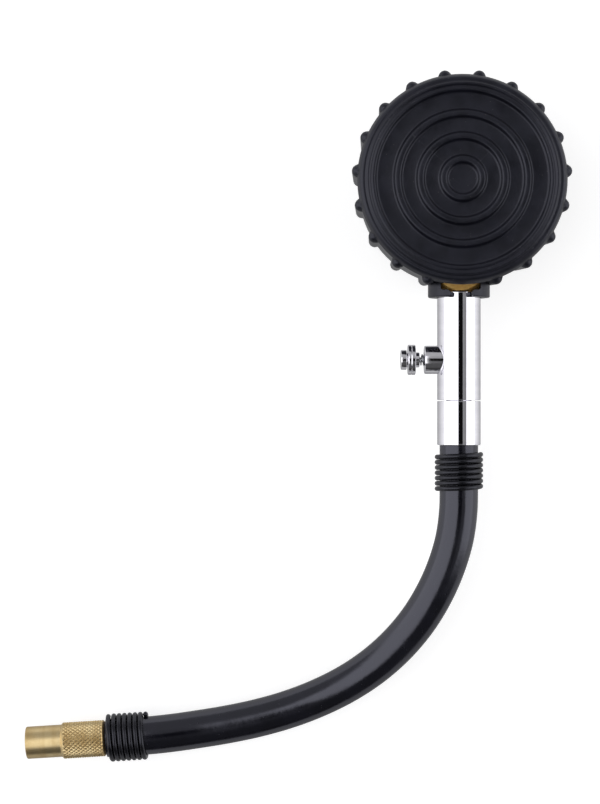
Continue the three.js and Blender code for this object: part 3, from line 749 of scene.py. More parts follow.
# %% Ribs of the boot
BOOT_R, WALL_TO = 32.0, 32.8
TAPER = 1.4 / 31.3
RIB_PLACES = 19
RIB_STEP = 2 * math.pi / RIB_PLACES
RIB_R = 2.0
RIB_CENTRE_R = 31.8
RIB_FROM, RIB_TO = 4.0, 33.0
RIB_FILLET = 0.28


def leaning(r, h):
    """The radius at height h of something that leans with the wall and measures r at its top."""
    return r - TAPER * (WALL_TO - h)


def ribbed(r, h, a):
    """The boot's wall with a round-ended rib at every place but the stem's."""
    turn = (a + math.pi / 2) / RIB_STEP
    if r < 29 or not RIB_FROM < h < RIB_TO or round(turn) % RIB_PLACES == 0:
        return r
    off = (turn - round(turn)) * RIB_STEP
    centre = leaning(RIB_CENTRE_R, h)
    beyond = max(0.0, RIB_FROM + RIB_R - h, h - RIB_TO + RIB_R)
    inside = RIB_R ** 2 - beyond ** 2 - (centre * math.sin(off)) ** 2
    if inside <= 0:
        return r
    out = centre * math.cos(off) + math.sqrt(inside) - r
    return r + max(0.0, (out + math.hypot(out, RIB_FILLET)) / 2 - 0.03)


crowd = [0.5 * math.copysign(abs(t) ** 1.5, t) for t in np.linspace(-1, 1, 22, endpoint=False)]
rib_columns = [(k + c) * RIB_STEP - math.pi / 2 for k in range(RIB_PLACES) for c in crowd]
print(RIB_PLACES - 1, "ribs,", len(rib_columns), "columns")

# %% Outline of the boot
FACE_Z = 34.8
CAVITY_R = 27.3
RING_FEET, RING_W = (4.45, 11.45, 18.35), 2.85


def boot_outline():
    outline = [(0, 31.5), (CAVITY_R, 31.5, 0.8), (CAVITY_R, 2, 0.3)]
    outline += [(25, 2, 0.4), (25, 0, 0.5), (29.2, 0, 0.9)]
    heights = (1.5, 3.2, 4, 4.1, 4.35, 4.7, 5.2, 5.6, 6, 7, 10, 14, 18, 22, 26, 29)
    heights += (30.5, 31, 31.4, 31.8, 32.3, 32.65)
    outline += [(leaning(BOOT_R, h), h, 0.9 if h < 2 else 0) for h in heights]
    outline += [(BOOT_R, 32.8, 0.1), (31.95, 33.0, 0)]
    outline += [(31.3, 34.7, 0.9), (30.5, 35.45, 0.7), (29.6, 35.35, 0.5), (29.1, 35.95, 0.5)]
    outline += [(28.6, 36, 0.5), (28.0, 35.5, 0.4), (27.4, 35.85, 0.4)]
    outline += [(26.7, 35.75, 0.4), (26.1, FACE_Z, 0.5)]
    for foot in reversed(RING_FEET):
        outline += [(foot + RING_W, FACE_Z, 0.4), (foot + RING_W - 0.65, FACE_Z + 1, 0.4)]
        outline += [(foot + 0.65, FACE_Z + 1, 0.4), (foot, FACE_Z, 0.45)]
    return outline + [(0, FACE_Z)]


boot = spun("boot", soften(boot_outline(), 0.4, 4), HEAD, Z, rib_columns, push=ribbed, sharp=50)
print("boot outline has", len(soften(boot_outline(), 0.4, 4)), "points")

# %% [markdown]
# The boot has a short collar where the stem leaves. Seen from the back, a window in it shows the brass
# wrench flats, and a slot lets the rubber stretch over them. The collar is turned round the stem's axis,
# joined on, bored out, and its window and slot are cut last.

# %% Collar of the boot
COLLAR_R, COLLAR_END, LIP_Y = 9.6, -35.4, -33.3
WINDOW_X, WINDOW_Y, SLOT_X = 6.15, -31.2, 3.25


def add_collar(body):
    sleeve = [(0, -27), (COLLAR_R, -27), (COLLAR_R, COLLAR_END, 0.5), (0, COLLAR_END)]
    worked(body, spun("sleeve", soften(sleeve, 0.5, 4), STEM, Y, 96), "UNION", 50)
    bore = [(0, -24), (8.3, -24), (8.3, LIP_Y, 0.4), (7.05, LIP_Y, 0.3)]
    bore += [(7.05, COLLAR_END - 1), (0, COLLAR_END - 1)]
    worked(body, spun("bore", soften(bore, 0.3), STEM, Y, 96), sharp=50)
    worked(body, rod(HEAD, Z, CAVITY_R - 0.05, 2.05, 31.45, 128), sharp=50)
    half = [(WINDOW_X, WINDOW_Y), (WINDOW_X, LIP_Y + 0.5), (WINDOW_X - 0.5, LIP_Y), (SLOT_X + 0.9, LIP_Y)]
    half += [(SLOT_X, LIP_Y - 0.7), (SLOT_X, COLLAR_END + 0.5), (SLOT_X + 0.6, COLLAR_END - 0.2)]
    half += [(SLOT_X + 0.6, COLLAR_END - 1)]
    opening = half + [(-x, y) for x, y in reversed(half)]
    return worked(body, prism("opening", opening, STEM.z / MM, 30), sharp=50)


place(add_collar(boot), "gauge_body", "boot_rubber", "rubber_boot")

# %% [markdown]
# ## Brass socket and chromed stem
# The movement hangs on a brass socket whose end is square for a wrench, with its corners turned off to a
# cone. The stem screws into it. Both are shown by their edges, so the corners carry small chamfers that
# catch the light.

# %% Brass socket
SOCKET_HALF, SOCKET_CORNER_R, SOCKET_END = 6.0, 8.0, -33.4


def brass_socket():
    cone = [(0, SOCKET_END), (SOCKET_HALF, SOCKET_END, 0.15), (SOCKET_CORNER_R, SOCKET_END + 2, 0.3)]
    cone += [(SOCKET_CORNER_R, -25.5), (0, -25.5)]
    body = spun("socket", soften(cone, 0.15), STEM, Y, 128)
    low, high = STEM.z / MM - SOCKET_HALF, STEM.z / MM + SOCKET_HALF
    worked(body, block(-SOCKET_HALF, SOCKET_HALF, SOCKET_END - 1, -24, low, high), "INTERSECT")
    worked(body, block(-4.9, 4.9, -26, -13, STEM.z / MM - 5.5, STEM.z / MM + 5.5), "UNION")
    worked(body, block(-4.6, 4.6, -14, -8.2, 18.6, 21), "UNION")
    worked(body, rod(STEM, Y, 4.2, SOCKET_END - 1, -26.6))
    worked(body, rod(STEM, Y, 1.6, -28, -18, 32))
    for x in (-2.8, 2.8):
        worked(body, rod(at_head(x, -10.6, 0), Z, 1.1, 18, 20.7, 32))
    return body


place(brass_socket(), "gauge_body", "brass", "brass_socket")

# %% Stem
STEM_R, STEM_TOP, STEM_END = 6.75, -33.7, -67.2
SPIGOT_R, SPIGOT_CLEAR, PASSAGE_R = 3.9, 4.2, 1.6


def stem():
    outline = [(PASSAGE_R, -27), (SPIGOT_R, -27, 0.4), (SPIGOT_R, STEM_TOP, 0.1), (STEM_R, STEM_TOP, 0.4)]
    rows = (STEM_TOP - 0.6, -44, -50, -59.5, STEM_END + 0.5)
    outline += [(STEM_R, y, 0) for y in rows] + [(STEM_R, STEM_END, 0.3)]
    outline += [(SPIGOT_CLEAR, STEM_END, 0.2), (SPIGOT_CLEAR, -65.8, 0.1), (4.7, -65.8, 0.1)]
    outline += [(4.7, -64.2, 0.1), (SPIGOT_CLEAR, -64.2, 0.1), (SPIGOT_CLEAR, -58.8, 0.3)]
    outline += [(PASSAGE_R, -58.8, 0.2)]
    body = spun("stem", soften(outline, 0.2, closed=True), STEM, Y, 160, closed=True)
    return worked(body, rod(VALVE, X, 3.3, -8, -1, 48))


place(stem(), "gauge_body", "chrome", "stem_body")

# %% [markdown]
# ## Bleed valve
# A thumb button on the stem's side lets held air out: a boss screwed into the stem, a stepped button on a
# steel pin, and a light spring between them. The boss meets the round stem in a saddle, which a Boolean
# cut gives.

# %% Boss of the bleed valve
def bleed_boss():
    shell = [(1.2, -4), (4.4, -4), (4.4, -10.8, 0.5), (2.2, -10.8, 0.15), (2.2, -8, 0.1), (1.2, -8, 0.1)]
    body = spun("valve_boss", soften(shell, 0.3, closed=True), VALVE, X, 96, closed=True)
    worked(body, rod(STEM, Y, STEM_R + 0.04, -62, -48, 192))
    shank = [(1.2, -4.2), (3, -4.2, 0.3), (3, -8.4), (1.2, -8.4)]
    return worked(body, spun("shank", soften(shank, 0.3, closed=True), VALVE, X, 64, closed=True), "UNION")


place(bleed_boss(), "gauge_body", "valve_chrome", "bleed_valve_body")

# %% Button, pin, seal and spring
def bleed_button():
    outline = [(0, -18.1), (3.1, -18.1, 0.35), (3.1, -16.3, 0.2), (2.3, -16.3, 0.1), (2.3, -15.9, 0.1)]
    outline += [(4.7, -15.9, 0.3), (4.7, -14.95, 0.05), (4.58, -14.8, 0.05)]
    outline += [(4.7, -14.65, 0.05), (4.7, -13.55, 0.3)]
    outline += [(2.35, -13.55, 0.15), (2.35, -12.3, 0.25), (1.1, -12.3, 0.1), (1.1, -17.5), (0, -17.5)]
    return spun("button", soften(outline, 0.1), VALVE, X, 96)


place(bleed_button(), "bleed_push", "valve_chrome", "bleed_button")
pin_outline = [(0, -17.2), (0.8, -17.2, 0.15), (0.8, -3), (1.9, -3, 0.1), (1.9, -2.4, 0.15), (0, -2.4)]
place(spun("valve_pin", soften(pin_outline, 0.1), VALVE, X, 32), "bleed_push", "steel", "bleed_pin")
seal_outline = [(1.1, -3.9), (1.9, -3.9), (1.9, -3.3), (1.1, -3.3)]
seal = spun("valve_seal", soften(seal_outline, 0.15, closed=True), VALVE, X, 32, closed=True)
place(seal, "bleed_push", "seal_rubber", "bleed_seal")


def coil_spring(name, at, along, start, end, radius, wire_r, turns):
    """A small compression spring between two stations of an axis, in millimetres."""
    pitch = (end - start - 2 * wire_r) / turns
    path = helix(at + along * ((start + wire_r) * MM), along, Z, radius * MM, turns, pitch * MM, 24)
    return wire(name, path, wire_r * MM, 8)


SPRING_FROM, SPRING_TO = -12.2, -8.3
spring = coil_spring("valve_spring", VALVE, X, SPRING_FROM, SPRING_TO, 1.58, 0.22, 4.5)
place(spring, "gauge_body", "steel", "bleed_spring")
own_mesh(spring)

# %% [markdown]
# ## Swivel ferrule and check valve
# The hose end turns in the stem: its spigot carries an O-ring that seals and a snap ring that holds it
# in. A small check valve inside keeps the reading after the chuck comes off the tyre. Hidden pieces are
# turned as carefully as the ones in view, because a section or an exploded view would show them.

# %% Ferrule and its rings
FERRULE_TOP, FERRULE_END = -67.5, -81.2


def ferrule():
    outline = [(2.3, -59.3, 0.1), (SPIGOT_R, -59.3, 0.3)]
    for groove_y, floor_r in ((-61.5, 2.9), (-65, 3.3)):
        outline += [(SPIGOT_R, groove_y + 0.8), (floor_r, groove_y + 0.8)]
        outline += [(floor_r, groove_y - 0.8), (SPIGOT_R, groove_y - 0.8)]
    outline += [(SPIGOT_R, FERRULE_TOP, 0.1), (STEM_R, FERRULE_TOP, 0.3), (STEM_R, FERRULE_TOP - 0.5, 0)]
    outline += [(STEM_R, FERRULE_END + 0.8, 0), (STEM_R, FERRULE_END, 0.5)]
    outline += [(3.3, FERRULE_END, 0.2), (3.3, -78.5, 0.1), (1.3, -78.5, 0.1)]
    outline += [(1.3, -77.1, 0), (2.3, -76.2, 0.1)]
    return spun("ferrule", soften(outline, 0.06, closed=True), STEM, Y, 160, closed=True)


place(ferrule(), "hose_end", "chrome", "swivel_ferrule")
O_RING_Y, SNAP_Y = -61.5, -65.0
o_ring = [(3.55 + 0.37 * math.cos(t), O_RING_Y + 0.45 * math.sin(t)) for t in np.arange(16) * math.pi / 8]
place(spun("o_ring", o_ring, STEM, Y, 64, True), "hose_end", "seal_rubber", "swivel_o_ring")
snap = [(3.6, SNAP_Y - 0.5), (4.4, SNAP_Y - 0.5), (4.4, SNAP_Y + 0.5), (3.6, SNAP_Y + 0.5)]
snap_ring = spun("snap_ring", soften(snap, 0.2, closed=True), STEM, Y, 64, True)
place(snap_ring, "hose_end", "steel", "swivel_snap_ring")

# %% Barb and check valve
BARB_BORE_R, BARB_R = 1.3, 2.1


def ridged(start, end, ridges, root, crest):
    """The outside of a hose barb: saw teeth that let the hose on and hold it back, from start to end."""
    step = (end - start) / ridges
    teeth = [(root, start)]
    for k in range(ridges):
        teeth += [(crest, start + step * (k + 0.75)), (root, start + step * (k + 0.8))]
    return teeth + [(root, end)]


barb = [(BARB_BORE_R, -95)] + ridged(-95, FERRULE_END, 6, 1.8, BARB_R)
barb += [(3, FERRULE_END), (3, -78.8), (BARB_BORE_R, -78.8)]
place(spun("barb", soften(barb, 0.08, closed=True), STEM, Y, 64, True), "hose_end", "brass", "hose_barb")
retainer = soften([(0.9, -62), (2, -62), (2, -60.4), (0.9, -60.4)], 0.2, closed=True)
place(spun("valve_retainer", retainer, STEM, Y, 48, True), "hose_end", "brass", "check_valve_retainer")
poppet = soften([(0, -76.5), (1, -76.5), (1.9, -75.6), (1.9, -72.3), (0, -72.3)], 0.15)
place(spun("poppet", poppet, STEM, Y, 48), "check_poppet", "brass", "check_valve_poppet")
CHECK_FROM, CHECK_TO = -72.0, -62.3
check_spring = coil_spring("poppet_spring", STEM, Y, CHECK_FROM, CHECK_TO, 1.5, 0.2, 9)
place(check_spring, "hose_end", "steel", "check_valve_spring")
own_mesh(check_spring)

# %% [markdown]
# ## Spring clamps
# Each end of the hose is gripped by a close coil of black spring wire. Its turns are the most visible
# texture on the hose, so the wire is real geometry: a helix of round wire whose last end runs off
# straight.

# %% Clamps
WIRE_R = 0.775
WIRE_TAIL = 0.6


def clamp(name, at, along, start, end, turns):
    """A coil of wire on the hose between two stations of the axis, with a short straight tail."""
    pitch = (end - start - 2 * WIRE_R) / turns * MM
    radius = HOSE_R + WIRE_R * MM
    path = helix(at + along * ((start + WIRE_R) * MM), along, Z, radius, turns, pitch, 40, -math.pi / 2)
    path[-1] += (path[-1] - path[-2]).normalized() * WIRE_TAIL * MM
    return wire(name, path, WIRE_R * MM, 14)


upper = clamp("upper_clamp", STEM, -Y, 83.3, 95.9, 6.75)
place(upper, "hose_end", "black_spring", "upper_spring_clamp")
lower = clamp("lower_clamp", CHUCK, -CHUCK_AXIS, 0.4, 13.7, 7.0)
place(lower, "hose_end", "black_spring", "lower_spring_clamp")

# %% [markdown]
# ## The chuck
# The chuck screws onto the tyre valve by hand, so its grip is knurled: two sets of slanting grooves cross
# and leave small pyramids. The knurl is cut into the mesh, row by row, with the height taken from two
# slanting triangle waves. The mouth has the thread for the tyre valve, made the same way with one helical
# wave.

# %% Knurl and thread
KNURL_R, KNURL_FROM, KNURL_TO = 5.7, 0.6, 13.3
NOSE_R, CHUCK_L, MOUTH_R, NECK_R = 5.05, 25.1, 3.95, 2.9
KNURLS, KNURL_PITCH, KNURL_DEPTH = 28, 1.5, 0.36
THREAD_PITCH, THREAD_DEPTH, THREAD_FROM, THREAD_TO = 0.8, 0.28, 16.0, 24.4


def wave(t):
    """A triangle wave from 0 to 1 and back, once a turn."""
    return 1 - abs(2 * (t % 1) - 1)


def chuck_surface(r, h, a):
    turn = a / (2 * math.pi)
    if abs(r - KNURL_R) < 0.01 and KNURL_FROM <= h <= KNURL_TO:
        high = min(wave(KNURLS * turn + h / KNURL_PITCH), wave(KNURLS * turn - h / KNURL_PITCH))
        fade = min(1.0, (h - KNURL_FROM) / 0.3, (KNURL_TO - h) / 0.3)
        return r - KNURL_DEPTH * fade * (1 - min(1.0, 1.25 * high))
    if abs(r - MOUTH_R) < 0.01 and THREAD_FROM <= h <= THREAD_TO:
        fade = min(1.0, (h - THREAD_FROM) / 0.5, (THREAD_TO - h) / 0.5)
        return r - THREAD_DEPTH * fade * wave(h / THREAD_PITCH + turn)
    return r


print(KNURLS, "slanting grooves each way, one every", KNURL_PITCH, "mm along the grip")


# %% Chuck sleeve
def stations(start, end, step, r):
    """Evenly spaced points of an outline, close enough together to carry a knurl or a thread."""
    count = round((end - start) / step)
    return [(r, start + (end - start) * k / count, 0) for k in range(count + 1)]


def chuck_sleeve():
    outline = [(NECK_R, 0, 0.2), (KNURL_R - 0.6, 0, 0.2)]
    outline += stations(KNURL_FROM, KNURL_TO, KNURL_PITCH / 8, KNURL_R)
    outline += [(KNURL_R - 0.6, 13.9, 0.1), (NOSE_R, 13.95, 0.15), (NOSE_R, CHUCK_L, 0.5)]
    outline += [(MOUTH_R, CHUCK_L, 0.25)] + stations(THREAD_TO, THREAD_FROM, THREAD_PITCH / 6, MOUTH_R)
    outline += [(MOUTH_R, 8.2, 0.2), (NECK_R, 8.2, 0.2)]
    shape = soften(outline, 0.2, closed=True)
    return spun("chuck", shape, CHUCK, CHUCK_AXIS, KNURLS * 8, closed=True, push=chuck_surface, sharp=28)


place(chuck_sleeve(), "chuck_nut", "pale_brass", "chuck_sleeve")

# %% Inside the chuck
chuck_seal = soften([(1.5, 13.3), (3.65, 13.3), (3.65, 15.3), (1.5, 15.3)], 0.3, closed=True)
place(spun("mouth_seal", chuck_seal, CHUCK, CHUCK_AXIS, 64, True), "chuck_nut", "seal_rubber", "chuck_seal")
core = [(0, 11.8), (2, 11.8), (2, 12.7), (0.7, 12.7, 0.2), (0.7, 18, 0.3), (0.4, 18.5, 0.2), (0, 18.5)]
place(spun("depressor_pin", soften(core, 0.1), CHUCK, CHUCK_AXIS, 32), "hose_end", "steel", "chuck_pin")
tail = [(BARB_BORE_R, -14)] + ridged(-14, -1.2, 5, 1.8, BARB_R)
tail += [(2.1, -0.3), (2.6, -0.3), (2.6, 8.5), (3.6, 8.5)]
tail += [(3.6, 13), (2.3, 13), (2.3, 11.5), (BARB_BORE_R, 11.5)]
barb_piece = spun("chuck_tail", soften(tail, 0.08, closed=True), CHUCK, CHUCK_AXIS, 64, True)
place(barb_piece, "hose_end", "pale_brass", "chuck_barb")
hose_fittings = [upper, lower, barb_piece, bpy.data.objects["chuck"], bpy.data.objects["barb"]]
hose_fittings += [bpy.data.objects["mouth_seal"], bpy.data.objects["depressor_pin"]]
print("hose declared,", round(HOSE_LENGTH / MM), "mm long")

# %% [markdown]
# ## The gauge's face
# The front faces the table here, but it is what a user reads. A bezel ring presses a clear lens and a
# gasket into the case, over a white dial with black marks, two screws, a stop pin and a red pointer. The
# marks are thin shapes laid on the dial, so they stay crisp at any size. The numbers are a plain pressure
# scale.

# %% Case, bezel, lens and gasket
CASE_R, CASE_IN = 27.0, 26.2


def case():
    outline = [(0, 30.4), (CASE_IN, 30.4, 0.8), (CASE_IN, 7.4), (25, 7.4, 0.1), (25, 6.6, 0.1)]
    outline += [(CASE_IN, 6.6), (CASE_IN, 5, 0.15), (CASE_R, 5, 0.15), (CASE_R, 31.2, 1.2), (0, 31.2)]
    body = spun("case", soften(outline, 0.1), HEAD, Z, 128)
    return worked(body, block(-6.3, 6.3, -30, -22, 12.7, 25.3))


place(case(), "gauge_body", "steel", "gauge_case")
bezel = [(24.9, 2.3, 0.25), (CASE_R, 2.3, 0.3), (CASE_R, 4.7), (CASE_IN, 4.7)]
bezel += [(CASE_IN, 3.1), (24.9, 3.1, 0.25)]
place(spun("bezel", soften(bezel, 0.1, closed=True), HEAD, Z, 160, True), "gauge_body", "steel", "bezel_ring")
lens = [(0, 3.4), (18, 3.42, 3), (25.9, 3.55, 0.3), (25.9, 5.0, 0.2), (0, 5.0)]
place(spun("lens_disc", soften(lens, 0.2), HEAD, Z, 160), "gauge_body", "clear_lens", "lens")
gasket = soften([(24.6, 5.3), (25.9, 5.3), (25.9, 6.3), (24.6, 6.3)], 0.35, closed=True)
place(spun("gasket", gasket, HEAD, Z, 128, True), "gauge_body", "seal_rubber", "lens_gasket")

# %% Dial plate, screws and stop pin
DIAL_FACE, DIAL_BACK = 9.2, 9.7
ZERO, SWEEP, TOP_READING = -45.0, 270.0, 60
STOP_R, STOP_ANGLE = 14.0, math.radians(ZERO - 7)
stop_x, stop_y = STOP_R * math.cos(STOP_ANGLE), STOP_R * math.sin(STOP_ANGLE)


def dial():
    outline = [(0, DIAL_FACE), (25.9, DIAL_FACE, 0.1), (25.9, DIAL_BACK, 0.1), (0, DIAL_BACK)]
    body = spun("dial", soften(outline, 0.1), HEAD, Z, 160)
    for x, y, r in ((0, 0, 1.3), (-6.5, 3.5, 0.85), (6.5, 3.5, 0.85), (stop_x, stop_y, 0.8)):
        worked(body, rod(at_head(x, y, 0), Z, r, 9, 10, 32))
    return body


def slotted_screw(name, x, y, head_from, head_to, head_r, shank_r, end):
    """A cheese-head screw pointing up, its slot in the face that looks down."""
    outline = [(0, head_from), (head_r, head_from, 0.25), (head_r, head_to, 0.1)]
    outline += [(shank_r, head_to), (shank_r, end, 0.2), (0, end)]
    body = spun(name, soften(outline, 0.1), at_head(x, y, 0), Z, 40)
    slot_half, slot_depth = 0.16, 0.3
    cutter = block(x - 3, x + 3, y - slot_half, y + slot_half, head_from - 1, head_from + slot_depth)
    return worked(body, cutter)


place(dial(), "gauge_body", "dial_paint", "dial_plate")
for number, x in enumerate((-6.5, 6.5), 1):
    screw = slotted_screw(f"face_screw_{number}", x, 3.5, 8.2, 8.9, 1.1, 0.55, 11.4)
    place(screw, "gauge_body", "steel", f"dial_screw_{number}")
pin = soften([(0, 7), (0.5, 7, 0.2), (0.5, 10), (1.1, 10), (1.1, 10.5), (0, 10.5)], 0.08)
place(spun("pointer_stop", pin, at_head(stop_x, stop_y, 0), Z, 32), "gauge_body", "steel", "stop_pin")

# %% Marks and numbers of the dial
MARK_H = 0.05
NUMBER_SIZE = 4.2


def dial_angle(reading):
    return math.radians(ZERO + SWEEP * reading / TOP_READING)


def tick(reading, inner, outer, half_width):
    """A bar along the radius at a reading."""
    a = dial_angle(reading)
    along, side = Vector((math.cos(a), math.sin(a))), Vector((-math.sin(a), math.cos(a))) * half_width
    corners = [along * inner - side, along * outer - side, along * outer + side, along * inner + side]
    return prism("tick", [tuple(c) for c in corners], DIAL_FACE - MARK_H, DIAL_FACE)


def numeral(reading, radius):
    """The number of a reading, facing down, upright with the stem at the bottom."""
    data = bpy.data.curves.new("numeral", "FONT")
    data.body = str(reading)
    data.size = NUMBER_SIZE * MM
    data.extrude = MARK_H / 2 * MM
    data.align_x = "CENTER"
    data.align_y = "CENTER"
    shape = bpy.data.objects.new("numeral", data)
    bpy.context.scene.collection.objects.link(shape)
    a = dial_angle(reading)
    spot = at_head(radius * math.cos(a), radius * math.sin(a), DIAL_FACE - MARK_H / 2)
    bpy.context.view_layer.update()
    mesh = bpy.data.meshes.new_from_object(shape.evaluated_get(bpy.context.evaluated_depsgraph_get()))
    bpy.data.objects.remove(shape)
    mesh.transform(Matrix.Translation(spot) @ Matrix.Rotation(math.pi, 4, "Y"))
    piece = bpy.data.objects.new("numeral", mesh)
    bpy.context.scene.collection.objects.link(piece)
    return piece


def joined(name, parts):
    """One object from several, which keep their own shells."""
    verts, faces = [], []
    for part in parts:
        start = len(verts)
        verts += [v.co.copy() for v in part.data.vertices]
        faces += [tuple(start + i for i in p.vertices) for p in part.data.polygons]
        bpy.data.objects.remove(part)
    return new_object(name, verts, faces)


marks = [tick(v, 21.2 if v % 10 == 0 else 22.2 if v % 5 == 0 else 23.0, 24.2, 0.28 if v % 10 == 0 else 0.12)
         for v in range(0, TOP_READING + 1)]
marks += [numeral(v, 17.6) for v in range(0, TOP_READING + 1, 10)]
place(joined("dial_marks", marks), "gauge_body", "dial_ink")

# %% Pointer and arbor
def pointer():
    a = dial_angle(0)
    half = [(-7, 1.5), (-5, 1.7), (-1.5, 0.8), (18, 0.35), (20.5, 0.05)]
    flat = half + [(x, -y) for x, y in reversed(half)]
    turned = [(x * math.cos(a) - y * math.sin(a), x * math.sin(a) + y * math.cos(a)) for x, y in flat]
    body = prism("needle", turned, 7.4, 7.9)
    hub = soften([(0, 6.5), (2, 6.5, 0.4), (2, 8.6, 0.15), (0, 8.6)], 0.2)
    worked(body, spun("hub", hub, HEAD, Z, 64), "UNION")
    return worked(body, rod(HEAD, Z, 0.8, 7.2, 9, 32))


place(pointer(), "pointer_arbor", "pointer_paint", "pointer")

# %% [markdown]
# ## The movement
# Behind the dial, pressure straightens a bent, flattened tube a little. Its tip pulls a link, the link
# swings a toothed sector, and the sector turns the pointer's pinion. The CAD parts keep their exact teeth
# and pivots, so they stay, with softened edges and better metal. The tube itself is swept again with
# rounded sides.

# %% Pressure tube
TUBE_R, TUBE_W, TUBE_H = 18.0, 1.6, 7.0
TUBE_FROM, TUBE_TO = math.radians(-72), math.radians(188)


def pressure_tube(steps=96, sides=12):
    """An arc of flattened tube with rounded narrow edges."""
    section = []
    for k in range(sides + 1):
        a = math.pi * k / sides
        section.append((TUBE_W / 2 * math.cos(a), (TUBE_H - TUBE_W) / 2 + TUBE_W / 2 * math.sin(a)))
    section += [(-x, -z) for x, z in section]
    verts, faces = [], []
    for s in range(steps + 1):
        a = TUBE_FROM + (TUBE_TO - TUBE_FROM) * s / steps
        for x, z in section:
            verts.append(at_head((TUBE_R + x) * math.cos(a), (TUBE_R + x) * math.sin(a), STEM.z / MM + z))
    count = len(section)
    for s in range(steps):
        for k in range(count):
            n = (k + 1) % count
            faces.append((s * count + k, (s + 1) * count + k, (s + 1) * count + n, s * count + n)[::-1])
    faces.append(tuple(range(count))[::-1])
    faces.append(tuple(range(steps * count, (steps + 1) * count)))
    return new_object("pressure_tube", verts, faces)


tube = pressure_tube()
tube.data.materials.append(finishes["plate_brass"])
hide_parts("bourdon_tube")
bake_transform(tube)
print("pressure tube:", len(tube.data.polygons), "faces, bends towards its tip")

# %% CAD parts that stay
PLAIN_PARTS = {
    "plate_brass": ["movement_front_plate", "movement_back_plate", "movement_pillar_1", "movement_pillar_2",
                    "movement_pillar_3", "sector_gear", "link", "tube_tip", "pinion_arbor"],
    "steel": ["movement_screw_1", "movement_screw_2", "hairspring"],
}
SOFT_EDGE = 0.08
for finish, names in PLAIN_PARTS.items():
    for name in names:
        part = NODES[name]
        part.data.materials.clear()
        part.data.materials.append(finishes[finish])
        edge = part.modifiers.new("soft_edge", "BEVEL")
        edge.width = SOFT_EDGE * MM
        edge.segments = 2
        edge.limit_method = "ANGLE"
        edge.angle_limit = math.radians(40)
        edge.use_clamp_overlap = True
print(sum(len(names) for names in PLAIN_PARTS.values()), "CAD parts kept with softened edges")

# %% [markdown]
# ## Table and light
# Polished chrome shows nothing but its surroundings, so the light is drawn round the gauge: broad white
# panels to the left and right, a narrow gap overhead that makes the fine black line down the stem, a
# strip of shade beside it, a dark front and a dim back. It is painted on the world by direction alone.
# The table is plain white with a glow of its own, and only the camera sees it: reflections look past it
# to the light painted below.

# %% World light
SIDE_LIGHT, FRONT_LIGHT, BACK_LIGHT, FRONT_HORIZON = 1.55, 0.08, 0.42, 0.04
GAP_LEFT, GAP_RIGHT, SHADE_RIGHT = math.radians(-7.4), math.radians(17.4), math.radians(36)
GAP_HALF_LENGTH = math.radians(11)
GAP_DARK, GAP_FRONT, GAP_BACK, GAP_SHADE = 0.004, 0.12, 0.34, 0.25
LOW_LIGHT, FLOOR_LIGHT = 0.95, 0.42
EDGE = math.radians(1.2)


def between(tree, value, low, high, soft):
    """1 where a value lies between low and high, with soft ends."""
    return calc(tree, "MULTIPLY", spread(tree, value, low - soft, low + soft),
                spread(tree, value, high - soft, high + soft, 1.0, 0.0))


def blend(tree, amount, one, other):
    """Goes from one level to the other by the amount."""
    return calc(tree, "ADD", calc(tree, "MULTIPLY", one, calc(tree, "SUBTRACT", 1.0, amount)),
                calc(tree, "MULTIPLY", other, amount))


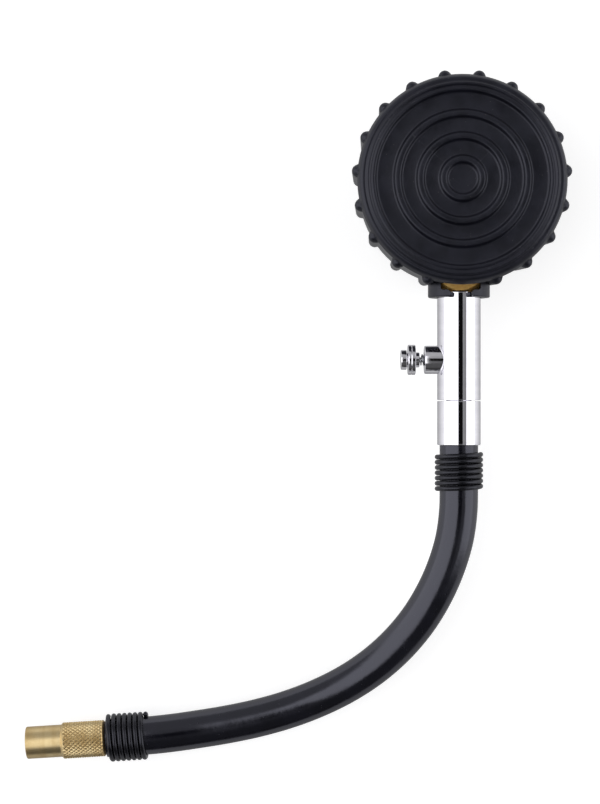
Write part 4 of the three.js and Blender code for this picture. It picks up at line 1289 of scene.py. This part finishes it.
def make_world():
    world = bpy.data.worlds.new("studio")
    world.use_nodes = True
    tree = world.node_tree
    light = tree.nodes["Background"]
    toward = tree.nodes.new("ShaderNodeSeparateXYZ")
    wire_up(tree, tree.nodes.new("ShaderNodeTexCoord").outputs["Generated"], toward, "Vector")
    x, y, z = toward.outputs
    across, along = calc(tree, "ARCTAN2", x, z), calc(tree, "ARCTAN2", y, z)
    in_gap = between(tree, across, GAP_LEFT, GAP_RIGHT, EDGE)
    in_shade = between(tree, across, GAP_RIGHT, SHADE_RIGHT, EDGE)
    soft_end = 4 * EDGE
    from_middle = calc(tree, "ABSOLUTE", along)
    off_middle = spread(tree, from_middle, GAP_HALF_LENGTH - soft_end, GAP_HALF_LENGTH + soft_end)
    gap_end = spread(tree, y, -0.1, 0.1, GAP_FRONT, GAP_BACK)
    gap = blend(tree, off_middle, GAP_DARK, gap_end)
    sides = blend(tree, in_gap, blend(tree, in_shade, SIDE_LIGHT, GAP_SHADE), gap)
    front = spread(tree, y, -0.98, -0.88, FRONT_HORIZON, FRONT_LIGHT)
    ends = blend(tree, spread(tree, y, -0.2, 0.2), front, BACK_LIGHT)
    above = blend(tree, spread(tree, calc(tree, "ABSOLUTE", y), 0.36, 0.60), sides, ends)
    below = calc(tree, "MULTIPLY", spread(tree, z, -1.0, 0.0, FLOOR_LIGHT, LOW_LIGHT),
                 spread(tree, y, -0.7, -0.1, 0.6, 1.0))
    level = blend(tree, spread(tree, z, -0.04, 0.04), below, above)
    seen = tree.nodes.new("ShaderNodeLightPath").outputs["Is Camera Ray"]
    wire_up(tree, calc(tree, "MAXIMUM", level, seen), light, "Strength")
    light.inputs["Color"].default_value = (0.985, 0.985, 1.0, 1.0)
    bpy.context.scene.world = world


make_world()
print("world light painted; overhead gap", round(math.degrees(GAP_RIGHT - GAP_LEFT), 1), "degrees wide")

# %% Table
TABLE_SIZE = 3.0
TABLE_GLOW = 0.75


def make_table():
    half = TABLE_SIZE / 2
    corners = [(-half, -half), (half, -half), (half, half), (-half, half)]
    floor = new_object("table", [Vector((x, y, -0.0002)) for x, y in corners], [(0, 1, 2, 3)])
    surface = bpy.data.materials.new("table_white")
    surface.use_nodes = True
    tree = surface.node_tree
    shader = tree.nodes["Principled BSDF"]
    shader.inputs["Base Color"].default_value = (0.5, 0.5, 0.5, 1.0)
    shader.inputs["Emission Color"].default_value = (1.0, 1.0, 1.0, 1.0)
    shader.inputs["Emission Strength"].default_value = TABLE_GLOW
    shader.inputs["Roughness"].default_value = 0.7
    shader.inputs["Specular IOR Level"].default_value = 0.2
    clear = tree.nodes.new("ShaderNodeBsdfTransparent")
    choice = tree.nodes.new("ShaderNodeMixShader")
    seen = tree.nodes.new("ShaderNodeLightPath").outputs["Is Camera Ray"]
    from_above = calc(tree, "SUBTRACT", 1.0, tree.nodes.new("ShaderNodeNewGeometry").outputs["Backfacing"])
    wire_up(tree, calc(tree, "MULTIPLY", seen, from_above), choice, 0)
    tree.links.new(clear.outputs[0], choice.inputs[1])
    tree.links.new(shader.outputs[0], choice.inputs[2])
    tree.links.new(choice.outputs[0], tree.nodes["Material Output"].inputs["Surface"])
    floor.data.materials.append(surface)


make_table()
print("table", TABLE_SIZE, "m across")

# %% Colour management
bpy.context.scene.view_settings.view_transform = "Standard"
bpy.context.scene.view_settings.look = "None"
print("view transform:", bpy.context.scene.view_settings.view_transform)
